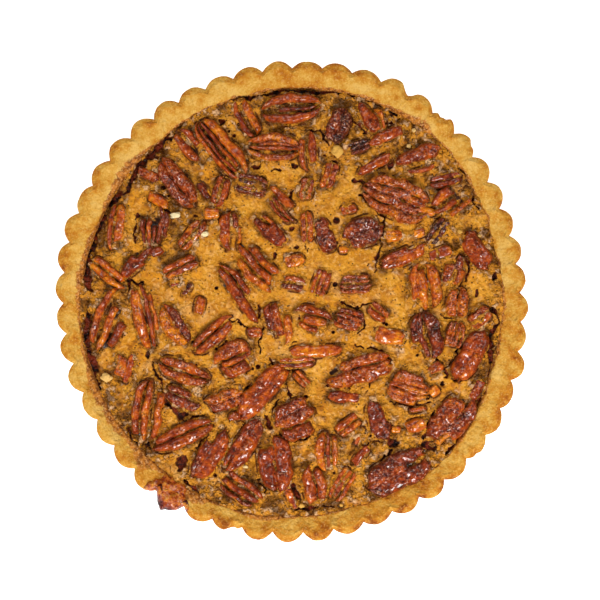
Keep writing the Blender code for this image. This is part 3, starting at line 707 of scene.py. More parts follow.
def custard_cover(lie, film, x, y):
    """How high the custard stands over a nut's place, from its level: a low dome, the fuller the
    more film, and ragged; its width falls towards the ends as a cube."""
    along, across = from_nut(lie, x, y)
    half_length, half_width = half_sizes(lie)
    u = along / half_length
    v = across / (half_width * np.sqrt(np.clip(1.0 - np.abs(u) ** 3.0, 1e-4, 1.0)))
    dome = np.sqrt(np.clip(1.0 - np.abs(u) ** NUT_BLUNTNESS, 0.0, 1.0) * np.clip(1.0 - v * v, 0.0, 1.0))
    full = BARE_COVER + (1.0 - BARE_COVER) * film + layers(x, y, FILM_LUMPS)
    return dome * full * (nut_rise(lie) + NUT_SINK) - NUT_SINK


def bar_distance(lie, bars, x, y):
    """How far a point lies from the nearest of a nut's bars, each an oblong that narrows with the nut."""
    along, across = from_nut(lie, x, y)
    half_length, half_width = half_sizes(lie)
    half_width = half_width * np.sqrt(np.clip(1.0 - np.abs(along / half_length) ** 4.0, 0.1, 1.0))
    nearest = np.full_like(x, 1e3)
    for middle, half, start, stop, _ in bars:
        beyond = np.abs(along - 0.5 * (start + stop) * half_length) - 0.5 * (stop - start) * half_length
        aside = np.abs(across - middle * half_width) - half * half_width
        nearest = np.minimum(nearest, np.hypot(np.maximum(beyond, 0.0), np.maximum(aside, 0.0)))
    return nearest


def nut_bars(lie, look, draw, seed, blunt, u, v, along):
    """Height and tone of the tallest bar at each point: a blunt half ellipse across, blunt ends along."""
    bars, tone = np.zeros_like(along + v), np.full_like(along + v, look.bars[0][4])
    for index, (middle, half, start, stop, shade) in enumerate(look.bars):
        lane = 7.0 * index + 0.0 * along
        bend = draw.uniform(-BAR_BEND, BAR_BEND) * (1.0 - u * u)
        centre = middle + bend + 0.05 * clouds(along, lane, 5.0, seed + 2 + index)
        width = half * (1.0 + 0.14 * clouds(along, lane, 3.6, seed + 30 + index))
        tall = BAR_HEIGHT + WIDE_BAR_HEIGHT * min(1.0, half / WIDE_BAR) + draw.uniform(*BAR_UNEVENNESS)
        tall = tall * (1.0 + NUT_UNEVENNESS * clouds(along, lane, 3.5, seed + 60 + index))
        cut = u + draw.uniform(-BAR_CUT, BAR_CUT) * (v - centre)
        cut = cut + 0.05 * clouds(along, 0.5 * lie.width * v, 2.0, seed + 90)
        reach = np.clip(np.abs((2.0 * cut - start - stop) / (stop - start)), 0.0, 1.0)
        across_bar = np.clip(np.abs((v - centre) / width), 0.0, 1.0)
        bar = tall * (1.0 - across_bar ** 2.8) ** (1 / 2.4) * (1.0 - reach ** (9.0 * blunt)) ** (1 / 2.2)
        tone = np.where(bar > bars, shade, tone)
        bars = np.maximum(bars, bar)
    return bars, tone


def nut_skin(lie, look, seed, rows, back_columns, blunt):
    """A nut's skin: across it, the tallest of its bars and of a low body, each a blunt half ellipse;
    along it, all fall to blunt ends. Below the custard it is closed by a shallow foot."""
    draw = np.random.default_rng(seed)
    widest = max(1.0, max(abs(middle) + half for middle, half, *_ in look.bars))
    step = np.linspace(-1.0, 1.0, rows + 2)[1:-1]
    u = NUT_OVERRUN * np.sin(0.5 * np.pi * step)[:, None]
    t = np.linspace(1.0, -1.0, back_columns)
    v = widest * (t * (1.25 - 0.25 * t * t))[None, :]
    within = np.clip(np.abs(u), 0.0, 1.0)
    end = np.sqrt(1.0 - within ** NUT_BLUNTNESS)
    sharp = np.where(u > 0.0, draw.uniform(*TAPER), draw.uniform(*TAPER)) * blunt
    half_length, half_width = half_sizes(lie)
    half_width = half_width * np.sqrt(1.0 - 0.96 * within ** sharp)
    along = u * half_length
    side = 1.0 + NUT_UNEVENNESS * clouds(along, np.sign(v) * 9.0 + 0.0 * along, 5.0, seed + 8)
    body = NUT_BODY * np.sqrt(np.clip(1.0 - v * v, 0.0, 1.0)) * end
    bars, tone = nut_bars(lie, look, draw, seed, blunt, u, v, along)
    back = np.maximum(body, bars)
    # The groove mark is painted shade where the bars stand no higher than the low body, between and beside
    # them.
    groove_shade = 1.0 - ease(bars - body, 0.0, GROOVE_DEPTH)
    across = v * half_width * side
    rough = layers(along, across, ((1.0, 2.6, seed + 5), (0.7, 1.3, seed + 6)))
    ripple = clouds(along * 1.5, across * 0.6, 2.2, seed + 7)
    lumpy = clouds(along, across, 4.2, seed + 9)
    wrinkles = ROUGHENED * rough + RIPPLED * ripple + LUMPY * lumpy
    back = back * (1.0 + look.wrinkle * wrinkles + BACK_ROUGHNESS * rough)
    height = -NUT_SINK + (nut_rise(lie) + NUT_SINK) * back * 0.97
    foot_v = widest * np.linspace(-1.0, 1.0, NUT_FOOT_COLUMNS + 2)[None, 1:-1]
    across = np.concatenate([across, foot_v * half_width], axis=1)
    height = np.concatenate([height, -NUT_SINK - NUT_FOOT * end * (1.0 - (foot_v / widest) ** 2)], axis=1)
    slant = np.where(u > 0.0, draw.uniform(-SLANT, SLANT), draw.uniform(-SLANT, SLANT)) * within ** 3
    along = along + slant * across
    across = across + NUT_BOW * lie.width * clouds(along, 0.0 * along, 9.0, seed + 1)
    turn = math.radians(lie.turn)
    x = lie.x + along * math.cos(turn) - across * math.sin(turn)
    y = lie.y + along * math.sin(turn) + across * math.cos(turn)
    pad = ((0, 0), (0, NUT_FOOT_COLUMNS))
    over = height - custard_cover(lie, look.film, x, y) + 0.5 * clouds(x, y, 1.3, 26)
    marks = {
        "tone": np.clip(np.pad(tone, pad) + layers(x, y, TONE_BLOTCHES), 0.0, 1.0),
        "groove_shade": np.pad(groove_shade, pad),
        "film": 1.0 - ease(over, 0.0, 0.2 + 0.7 * look.film),
        "wrinkled": np.full_like(x, look.wrinkle),
    }
    return np.stack([x, y, custard_top(x, y) + height], axis=-1), marks


def joined(grids):
    """Points and faces of closed grids, one after another, each shut at the middles of its end rows."""
    vertices, faces = [], []
    count = 0
    for grid in grids:
        points, own_faces = closed_by_poles(grid, grid[0].mean(axis=0), grid[-1].mean(axis=0), count)
        vertices.append(points)
        faces += own_faces
        count += len(points)
    return np.concatenate(vertices), faces


def nut_piece(name, skins, material):
    """One piece from one or more nut skins, with each mark's mean over an end row for its pole."""
    piece = food_object(name, *joined([grid for grid, _ in skins]), material)
    for key in skins[0][1]:
        own = [marks[key] for _, marks in skins]
        values = [np.append(value.ravel(), [value[0].mean(), value[-1].mean()]) for value in own]
        keep_mark(piece, key, np.concatenate(values))
    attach(piece, "root")
    return piece


def pecan_surface():
    """Orange to maroon by the tone mark, with painted shade in the grooves; where wrinkled, painted
    glints mixed with sugary froth and painted shade in the creases; tan under film.
    """
    skin = Surface("glazed pecan")
    blotch, broad = skin.noise(2.2, 3.0), skin.noise(5.5)
    grain, fine, glints = skin.noise(0.9, 3.0), skin.noise(0.9), skin.noise(1.5)
    shade = skin.mark("tone") + (blotch - 0.5) * 0.85 + (broad - 0.5) * 1.0
    nut = skin.scale_of_colours(shade, NUT_COLOURS)
    nut = skin.mix(skin.ramp(grain, 0.5, 0.7, 0.0, 0.35), nut, NUT_GRAIN)
    crinkled = skin.ramp(skin.mark("wrinkled") + (skin.noise(5.0) - 0.5) * 3.0, 0.1, 0.9, 0.15, 1.0)
    # Painted highlights mixed with pinkish sugary froth, on the wrinkled parts.
    nut = skin.mix(skin.ramp(glints, 0.54, 0.66, 0.0, 0.55) * crinkled, nut, NUT_FROTH_AND_PAINTED_GLINT)
    # Painted shade in the creases of the wrinkled parts.
    nut = skin.mix(skin.ramp(glints, 0.46, 0.34, 0.0, 0.75) * crinkled, nut, NUT_CREASE_SHADE)
    # Painted shade in the grooves between the bars and along the nut's borders.
    dark = skin.ramp(skin.mark("groove_shade") + (blotch - 0.5), 0.24, 0.62)
    nut = skin.mix(dark, nut, skin.mix(blotch, *NUT_GROOVE_SHADE))
    tan = skin.mix(skin.ramp(blotch, 0.35, 0.65), *NUT_FILM)
    tan = skin.mix(skin.ramp(grain, 0.48, 0.66, 0.0, 0.7), tan, NUT_FROTH)
    colour = skin.mix(skin.mark("film"), nut, tan)
    relief = skin.bump(blotch + ((glints + fine * 0.7) * crinkled + fine * 0.25), 1.7)
    return skin.finish(colour, 0.5, Normal=relief, Specular_IOR_Level=0.08,
                       Coat_Weight=0.75, Coat_Roughness=0.22)


loose_lies = {name: lie_of(name) for name in sorted(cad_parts) if name.startswith("pecan_")}
nuts = []
glazed_pecan = pecan_surface()
for node, lie in loose_lies.items():
    number = int(node.removeprefix("pecan_"))
    lie = WIDE_LIES.get(number, lie)
    look = Look(*LOOKS[number])
    nuts.append((lie, look))
    skin = nut_skin(lie, look, 100 * number, NUT_ROWS, NUT_BACK_COLUMNS, 1.0)
    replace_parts(nut_piece(f"{node}_glazed", [skin], glazed_pecan), node)

small_skins = []
for number, row in enumerate(SMALL_NUTS):
    nut = SmallNut(*row)
    lie = Lie(nut.x, nut.y, nut.length, nut.width, nut.turn)
    draw = np.random.default_rng(SMALL_DRAWS + number)
    bars = [(middle, half, draw.uniform(-1, -0.8), draw.uniform(0.8, 1),
             nut.tone + draw.uniform(-0.12, 0.12)) for middle, half in BARS[nut.ribs]]
    look = Look(nut.film, nut.wrinkle, bars)
    nuts.append((lie, look))
    seed = SMALL_SEEDS + 100 * number
    small_skins.append(nut_skin(lie, look, seed, SMALL_ROWS, SMALL_BACK_COLUMNS, SMALL_BLUNTNESS))
nut_piece("small_pecans", small_skins, glazed_pecan)

# Baked custard
# Egg, butter and syrup baked to a foam: set, dull and golden with dark specks of painted
# shade for pinholes, sunk and cracked open along the pastry and between the nuts, with a
# few burst bubbles. It fills the case, and a thin skin of it covers most nuts in part.

WALL_GAP = 0.6
RIM_OVERLAP = 0.9
CUSTARD_FOOT = 4.35
SIDE_LEVELS = (18.0, 11.0, CUSTARD_FOOT)
CUSTARD_CELLS = 520
CREEP_HEIGHT = 1.0
CREEP_REACH = 1.6
MOAT_WIDTH = 0.5
MOAT_SHADE = 0.4
COVERED = 0.2
CRACK_SHARE = 0.48
CRACK_BREAKS = 0.62
CRACK_DEEPEST = 4.6
HOLLOW_SHARE = 0.85
BUBBLE_RIM = 0.35

# How near the nuts the custard counts as, from nought to one: beside a nut and how
# far that reaches, along the pastry, in clouds, and less in the flan's middle
NEAR_NUT, NEAR_REACH, NEAR_PASTRY, NEAR_CLOUDS, LESS_MIDDLE = 0.85, 4.5, 0.45, 0.3, 0.22

# Lumps of the custard's top, as (height afar, height added by a nut, size, seed)
CUSTARD_LUMPS = ((0.5, 0.9, 8.0, 35), (0.2, 1.3, 3.4, 36), (0.08, 0.35, 1.6, 37))

# Unevenness of the cracks, as (height, size, seed): of their borders, of their
# widths, and of their lines, across and up
BORDER_LUMPS = ((0.8, 2.3, 31), (0.5, 1.1, 32))
WIDTH_LUMPS = ((0.7, 4.2, 39), (0.4, 1.9, 40))
LINE_LUMPS = (((1.0, 3.5, 45), (0.8, 1.5, 47)), ((1.0, 3.5, 46), (0.8, 1.5, 48)))

FOAM_COLOURS = ((0.1, (212, 149, 46)), (0.4, (198, 132, 32)), (0.62, (178, 112, 24)),
                (0.82, (146, 86, 16)), (0.95, (108, 60, 10)))
FOAM_TAN, FOAM_PALE, FOAM_BROWN = (212, 154, 84), (228, 172, 92), (150, 88, 18)
DRAPED_AMBER = ((212, 138, 26), (156, 88, 12))
# The glazed skin's pale pink: froth mixed with painted glints.
GLAZED, GLAZED_PALE, GLAZED_FROTH_AND_GLINT = ((208, 136, 36), (120, 70, 18)), (200, 136, 56), (233, 187, 138)
# Painted shade: in the creases by the nuts, in the hollows between lumps, and in pinholes.
CREASE_SHADE, HOLLOW_SHADE, PINHOLE_SHADE = (62, 28, 8), (78, 40, 10), (44, 20, 6)
# In the cracks: painted shade on their walls and beside the nuts, and dark red syrup with painted shade
# deep inside.
CRACK_WALL_SHADE, CRACK_SYRUP_AND_SHADE = ((118, 62, 18), (76, 34, 10)), ((24, 8, 5), (104, 36, 14))

# Cracks, as (width, x, y, x, y and so on along the crack), first those along the pastry
CRACKS = (
    (6.6, -71, 92.5, -75, 90, -77, 86, -81, 82, -86, 78, -90, 71, -93, 66, -93, 63, -97, 60),
    (9.5, -97, 60, -101, 58, -106, 53, -109, 47, -111, 42, -112, 36, -115, 30),
    (8.5, -114, 30, -116, 25, -118, 20, -117, 14, -115, 8),
    (7, -117, -3, -116, -8, -117, -14, -117, -21, -115, -27, -114, -33, -113, -39, -112, -45),
    (2, -112, -45, -109, -50), (2, -93, -72, -92, -76, -89, -81), (1.8, -61, -102, -55, -107, -53, -109),
    (2.8, -38, 115.5, -30, 116, -22, 115.5, -15, 117, -5, 119, 10, 118.5, 18, 118.5, 30, 118),
    (1.8, 30, 118, 36, 117.5, 42, 115, 50, 112), (2, 78, 95, 84.5, 90), (2, 94, 75, 97, 72, 98, 69),
    (2, 101, 59, 104, 52.5), (2, 114, 16, 114, 13),
    (4.6, 112, -5, 115, -8, 116, -13, 112, -17, 112, -20, 111, -25, 111.5, -30, 112, -34),
    (2, 111.5, -34, 111.5, -43, 109, -51),
    (3.8, 109, -51, 106, -57, 104, -62, 102, -67, 98, -72, 95, -78, 91, -82, 86, -86),
    (1.6, 2, -118, 8, -117, 13, -116.5), (1.6, 15, -115, 22, -115.5),
    (2.6, -80, -35, -77, -41, -75, -47, -74.5, -51, -72, -57, -67, -61, -63, -66, -60, -67.5),
    (1.8, -60, -67.5, -54, -65.5, -49, -63.5, -42, -62, -35, -60), (1.4, -45, -71, -50, -77, -55, -83),
    (2, -82, 57, -76, 54, -70, 50), (2.6, -94, 2, -93, 5, -93, 11, -86, 10), (1.4, -89, 47, -89.5, 33),
    (2.2, 30, 108, 34, 102, 38, 98, 41, 94, 45, 96, 52, 100, 60, 103),
    (1.4, 10, 97, 16, 96, 20, 90, 21, 87), (1.4, 18, 82, 24, 79), (1.2, 33, 68, 40, 67),
    (1.5, 38, 60, 43, 55, 48, 50, 52, 48, 51, 42, 49, 36, 49, 28, 47, 22, 47, 17),
    (1.3, -19, -2, -19, -8, -20.5, -12), (1.3, -35, -10, -30, -13, -26, -15.5),
    (1.3, -16, -14, -17, -18, -19, -22, -19, -30), (1.3, -13, -33, -10, -36, -5, -39.5, 4, -38.5),
    (1.3, -3, -40, -4.5, -44, -4, -48, -3, -52, -1, -55), (1.4, -25, -48, -29, -53, -30, -58, -29, -65),
    (1.3, -7, -56, -12, -59.5, -12, -63), (2.5, -16, -65, -14.5, -68, -12, -72),
    (1.5, -8, -74, -4, -78, 0, -79, 6, -78, 10, -75, 12, -73), (1.4, -20, -101, -17, -105, -15, -107),
    (1.3, 27, -1.5, 30, -2.5, 33, -4.5, 37, -4, 42, -1, 45, 0),
    (1.2, 36, -5, 38, -9, 40, -12, 40, -15, 37, -18), (1.2, 36, -24, 39.5, -27.5),
    (1.4, 42, -26, 46, -27, 50, -28, 53, -31, 55, -34, 55, -37, 54, -39),
    (1.2, 44, -46, 41.5, -49, 41, -53), (1.2, -2, -24.5, 1, -23.5), (1.2, 19, -48, 28, -48.5, 33, -49),
    (1.4, 37.5, -85, 42, -80, 45, -79, 51, -80), (1.3, 48, -90, 53, -87, 56, -85),
    (1.4, 55, -57, 60, -58, 66, -59, 71, -58, 77, -57),
    (1.5, 85, -44, 87, -40, 86, -38, 90, -35, 91, -32, 93, -27, 96, -24, 97, -21),
    (1.4, 90, -45.5, 95, -44, 101, -40.5), (1.4, 80, -62, 78, -65, 76, -69, 75, -73, 74, -77),
    (1.3, 83, -8, 86, -9, 89, -10), (1.3, 77, -51, 76, -55), (1.3, 78, 47, 82, 46, 85, 47),
    (1.6, 97, 32, 99, 25, 99, 18, 97, 12),
)

# Dark hollows, as (x, y, length, width, turn)
HOLLOWS = (
    (-40, 101, 4, 3, 0), (-21, 76, 6, 2.5, 0), (-10, 74, 4, 2, 0), (1, 76, 4, 2, 0), (-1, 59, 6, 3, 90),
    (-63.5, -92, 10, 5, 80), (-83, -81, 4, 4, 0), (1.5, -108, 10, 4, -60), (56, -80, 9, 5, 0),
    (76, -82, 10, 6, 20), (73, -76, 2.5, 2.5, 0), (84, -46.5, 3, 3, 0), (-44, -98, 2.5, 2.5, 0),
    (56.5, 106, 5, 4, 0), (55, 77, 4, 4, 0), (104, 4, 5, 3, 90), (-9.5, 26, 4, 3, 90),
    (2, 31, 2.5, 2.5, 0), (-54.5, 48, 2.5, 2.5, 0), (-88, 48, 3, 3, 0), (-1, 41, 4, 3, 0),
    (-63, -65, 5, 5, 0), (-82, -31, 5, 4, 60), (-74.5, 64.3, 4, 1.5, 0), (24, 32.5, 3, 1.2, 30),
    (7.5, 29, 3, 1.2, 80),
)

# Burst bubbles, as (x, y, width)
BUBBLES = (
    (24.3, 45.7, 4.2), (23.5, 9.5, 3), (-70.5, 59.5, 1.6), (-36.5, 96, 1.6), (-33.5, 93.5, 2.2),
    (-31, 100, 1.6), (-55, -36, 1.6), (-57, -23, 1.6), (-38, -22.5, 1.6), (-39.5, -25, 1.6),
    (-43.5, -27, 1.8), (-23, -38, 1.6), (-43.5, 7.5, 2.2), (3.5, -9.5, 1.8), (7, -54, 2.5),
    (70, -30.5, 1.8), (81, -33, 1.8), (74, -15.5, 1.6), (22, -77.5, 1.8), (13.5, -109, 1.6),
    (23, -97, 1.6), (43.5, -76, 1.6), (51, -12, 2), (-20, -37, 2.8), (22.5, -17.5, 2), (52.5, -13, 2),
)


def nut_distance(x, y, lie):
    """How far a point lies outside a nut's outline, a blunt ellipse; less than nothing inside it."""
    along, across = from_nut(lie, x, y)
    half_length, half_width = half_sizes(lie)
    size = (np.abs(along / half_length) ** 2.6 + np.abs(across / half_width) ** 2.6 + 1e-9) ** (1 / 2.6)
    return np.hypot(along, across) * (1.0 - 1.0 / size)


def line_distance(x, y, points):
    """The distance from a line of straight pieces."""
    nearest = np.full_like(x, 1e3)
    for (x0, y0), (x1, y1) in zip(points, points[1:]):
        share = ((x - x0) * (x1 - x0) + (y - y0) * (y1 - y0)) / ((x1 - x0) ** 2 + (y1 - y0) ** 2)
        share = np.clip(share, 0.0, 1.0)
        nearest = np.minimum(nearest, np.hypot(x - x0 - share * (x1 - x0), y - y0 - share * (y1 - y0)))
    return nearest


def openings(x, y):
    """How open the custard is, nought to one, and how deep it falls there: the most of any crack,
    hollow or bubble, each open in its middle and eased shut at its border. Bubbles have raised rims."""
    ragged = layers(x, y, BORDER_LUMPS)
    broken = np.clip(CRACK_BREAKS + layers(x, y, WIDTH_LUMPS), 0.0, 1.4)
    torn_x, torn_y = (place + layers(x, y, lumps) for place, lumps in zip((x, y), LINE_LUMPS))
    opened, deep, rims = np.zeros_like(x), np.zeros_like(x), np.zeros_like(x)
    for width, *line in CRACKS:
        half = CRACK_SHARE * width * broken
        distance = line_distance(torn_x, torn_y, np.reshape(line, (-1, 2))) + 0.22 * ragged
        share = 1.0 - ease(distance, 0.35 * half, half + 0.22)
        fall = min(1.0 + 0.6 * width, CRACK_DEEPEST)
        opened, deep = np.maximum(opened, share), np.maximum(deep, share * fall)
    for x0, y0, length, width, turn in HOLLOWS:
        lie = Lie(x0, y0, HOLLOW_SHARE * length, HOLLOW_SHARE * width, turn)
        share = 1.0 - ease(nut_distance(torn_x, torn_y, lie) + 0.8 * ragged, -0.30 * width, 0.2)
        opened, deep = np.maximum(opened, share), np.maximum(deep, share * (1.2 + 0.6 * width))
    for x0, y0, width in BUBBLES:
        distance = np.hypot(x - x0, y - y0)
        share = 1.0 - ease(distance, 0.25 * width, 0.5 * width + 0.15)
        rims = rims + BUBBLE_RIM * np.exp(-(((distance - 0.62 * width) / 0.5) ** 2))
        opened, deep = np.maximum(opened, share), np.maximum(deep, share * (0.6 + 0.7 * width))
    return opened, deep - rims


def disc_grid(cells):
    """A square grid pressed into a unit disc: rings of squares become rings round the centre."""
    side = np.linspace(-1.0, 1.0, cells + 1)
    a, b = np.meshgrid(side, side)
    ring = np.maximum(np.abs(a), np.abs(b))
    safe = np.where(ring > 0.0, ring, 1.0)
    sideways = np.abs(a) >= np.abs(b)
    turn = np.where(sideways, 0.25 * np.pi * b / safe, 0.25 * np.pi * (2.0 - a / safe))
    turn = np.where(sideways & (a < 0.0), np.pi - turn, turn)
    turn = np.where(~sideways & (b < 0.0), -turn, turn)
    return ring, turn


def grid_faces(index):
    """Four-sided faces between the rows and columns of a grid of point numbers."""
    faces = [index[:-1, :-1], index[:-1, 1:], index[1:, 1:], index[1:, :-1]]
    return np.stack(faces, axis=-1).reshape(-1, 4)


def brink_of(index):
    """The point numbers once round the border of a grid."""
    return np.concatenate([index[0, :-1], index[:-1, -1], index[-1, :0:-1], index[:0:-1, 0]])


def custard_surface():
    """Golden foam afar and glazed, frothy skin by the nuts, with painted glints in the froth; painted shade
    in creases, hollows and pinholes; dark syrup and painted shade in the cracks and beside the nuts.
    """
    skin = Surface("baked custard foam")
    opened, near = skin.mark("opened"), skin.mark("near")
    blotch, grain, froth = skin.noise(3.4, 3.0), skin.noise(2.2, 3.0), skin.noise(1.7, 3.0)
    shade = skin.ramp(skin.noise(11.0), 0.3, 0.7, 0.05, 0.4) + skin.ramp(blotch, 0.3, 0.7, 0.0, 0.2)
    foam = skin.scale_of_colours(shade + skin.ramp(grain, 0.34, 0.66, 0.0, 0.2), FOAM_COLOURS)
    foam = skin.mix(skin.ramp(skin.noise(7.0, 3.0), 0.52, 0.66, 0.0, 0.55), foam, FOAM_TAN)
    foam = skin.mix(skin.ramp(froth, 0.54, 0.64, 0.0, 0.5), foam, FOAM_PALE)
    foam = skin.mix(skin.ramp(froth, 0.45, 0.35, 0.0, 0.4), foam, FOAM_BROWN)
    amber = skin.mix(skin.ramp(blotch, 0.36, 0.64), *DRAPED_AMBER)
    foam = skin.mix(skin.ramp(skin.noise(9.0, 3.0) + near * 0.2, 0.60, 0.68, 0.0, 0.75), foam, amber)
    glazed = skin.mix(skin.ramp(blotch, 0.36, 0.64), *GLAZED)
    glazed = skin.mix(skin.ramp(grain, 0.46, 0.66, 0.0, 0.4), glazed, GLAZED_PALE)
    # Pale pink clumps: froth mixed with painted glints.
    clumps = skin.ramp(skin.noise(3.4, 4.0), 0.50, 0.60, 0.0, 0.75) * skin.ramp(skin.noise(6.0), 0.40, 0.56)
    glazed = skin.mix(clumps, glazed, GLAZED_FROTH_AND_GLINT)
    by_nuts = near + (skin.noise(8.0, 5.0) - 0.5) * 2.6
    colour = skin.mix(skin.ramp(by_nuts, 0.35, 0.65, 0.0, 0.95), foam, glazed)
    vein = abs(skin.noise(4.6, 3.0) - 0.5)
    # Painted shade along thin creases near the nuts.
    crease = skin.ramp(vein, 0.0, 0.022, 1.0, 0.0) * skin.ramp(near, 0.25, 0.7)
    colour = skin.mix(crease * 0.8, colour, CREASE_SHADE)
    # Painted shade in the hollows between the lumps, by the nuts.
    colour = skin.mix(skin.mark("low") * 0.75, colour, HOLLOW_SHADE)
    # Painted shade: dark specks for pinholes, scattered in patches.
    pinhole_shade_mask = skin.ramp(skin.cells(2.6), 0.14, 0.24, 1.0, 0.0) * skin.ramp(skin.noise(5.0, 1.0), 0.40, 0.58)
    colour = skin.mix(pinhole_shade_mask * 0.9, colour, PINHOLE_SHADE)
    # Painted shade on the crack walls, and beside the nuts along the moat.
    colour = skin.mix(skin.ramp(opened, 0.02, 0.3), colour, skin.mix(grain, *CRACK_WALL_SHADE))
    # Deep in the cracks: dark red syrup with painted shade.
    inside = skin.mix(skin.ramp(blotch, 0.4, 0.6), *CRACK_SYRUP_AND_SHADE)
    colour = skin.mix(skin.ramp(opened, 0.35, 0.85), colour, inside)
    rough = skin.ramp(by_nuts, 0.4, 0.8, 0.6, 0.25)
    folds = skin.bump((blotch - crease * 0.15) * skin.ramp(near, 0.1, 0.7, 0.35, 1.0), 3.6)
    relief = skin.bump(grain + froth * 0.6, 1.1, Normal=folds)
    return skin.finish(colour, rough, Normal=relief, Specular_IOR_Level=0.12)


def baked_custard():
    """A disc of fine squares at the nuts' floating level, raised over and against the nuts, lumpy and
    cracked open, with a side that follows the case's wall down to a flat foot."""
    ring, turn = disc_grid(CUSTARD_CELLS)
    x, y = on_plan(ring * (edge_radius(np.degrees(turn)) + RIM_OVERLAP), turn)
    outer, cover = np.full_like(x, 1e3), np.full_like(x, -NUT_SINK)
    for lie, look in nuts:
        reach = (np.abs(x - lie.x) < lie.length) & (np.abs(y - lie.y) < lie.length)
        outer[reach] = np.minimum(outer[reach], bar_distance(lie, look.bars, x[reach], y[reach]))
        cover[reach] = np.maximum(cover[reach], custard_cover(lie, look.film, x[reach], y[reach]))
    opened, deep = openings(x, y)
    creep = CREEP_HEIGHT * np.exp(-outer / CREEP_REACH) * (1.0 + 0.6 * clouds(x, y, 3.0, 33))
    moat = ease(clouds(x, y, 5.0, 34), 0.0, 0.5) * np.exp(-(((outer - 0.5) / MOAT_WIDTH) ** 2))
    near = NEAR_NUT * np.exp(-outer / NEAR_REACH) + NEAR_PASTRY * ease(ring, 0.88, 0.98)
    near = near + NEAR_CLOUDS * clouds(x, y, 16.0, 49)
    near = np.clip(near - LESS_MIDDLE * (1.0 - ease(np.hypot(x, y), 40.0, 95.0)), 0.0, 1.0)
    lumps = sum((afar + added * near) * clouds(x, y, size, seed)
                for afar, added, size, seed in CUSTARD_LUMPS)
    level = lumps * (0.5 + 0.5 * ease(outer, 0.0, 2.0)) + creep - moat - deep
    z = custard_top(x, y) + np.maximum(level, cover + 0.5 * lumps)
    index = np.arange(x.size).reshape(x.shape)
    brink = brink_of(index)
    around = turn.ravel()[brink]
    vertices, faces = [np.stack([x, y, z], axis=-1).reshape(-1, 3)], grid_faces(index).tolist()
    upper = brink
    for step, level in enumerate(SIDE_LEVELS):
        draft = WALL_DRAFT * (CUSTARD_LEVEL - level) / (CUSTARD_LEVEL - FLOOR_THICKNESS)
        radius = edge_radius(np.degrees(around)) - WALL_GAP - draft
        vertices.append(np.stack([*on_plan(radius, around), 0.0 * around + level], axis=-1))
        lower = index.size + step * len(around) + np.arange(len(around))
        faces += np.stack([lower, np.roll(lower, -1), np.roll(upper, -1), upper], axis=-1).tolist()
        upper = lower
    faces.append(upper[::-1].tolist())
    custard = food_object("baked_custard", np.concatenate(vertices), faces, custard_surface())
    # The opened mark also holds painted shade beside the nuts, along the moat.
    keep_mark(custard, "opened", np.maximum(opened * (cover < COVERED), MOAT_SHADE * moat))
    keep_mark(custard, "near", near)
    # The low mark: painted shade in the hollows between the lumps, stronger by the nuts.
    keep_mark(custard, "low", ease(-lumps, 0.0, 1.0) * ease(near, 0.05, 0.7))
    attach(custard, "root")
    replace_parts(custard, "filling")


baked_custard()

# Boiled-over syrup
# Syrup and butter that bubbled over the rim at one place and set there: amber
# and lumpy on top, a dark red glossy drop where it hangs over the flutes.

SYRUP_MIDDLE = -122.75
SYRUP_HALF_WIDTH = 6.25
SYRUP_ROWS = (14, 76)
SYRUP_THICKNESS = 2.6
SYRUP_BORDER = -0.6
SYRUP_UNDER = -0.9
SYRUP_AMBER = 0.62
DROP_THICKNESS = 3.6
DROP_MIDDLE = -0.66
DROP_SIZES = (0.22, 0.40)
DROP_DARKNESS = 0.7
SYRUP_BORDER_LUMPS = ((0.34, 4.0, 41), (0.22, 1.8, 42))
SYRUP_COLOURS = ((0.1, (66, 10, 4)), (0.35, (122, 36, 8)), (0.6, (178, 82, 16)), (0.9, (208, 132, 44)))


def syrup_surface():
    """Dark red to amber by its mark, blotched and glossy."""
    skin = Surface("boiled syrup")
    blotch, grain = skin.noise(2.6), skin.noise(1.0)
    colour = skin.scale_of_colours(skin.mark("amber") + (blotch - 0.5) * 1.5, SYRUP_COLOURS)
    return skin.finish(colour, 0.2, Normal=skin.bump(blotch + grain * 0.5, 2.4), Specular_IOR_Level=0.2,
                       Coat_Weight=0.5, Coat_Roughness=0.14)


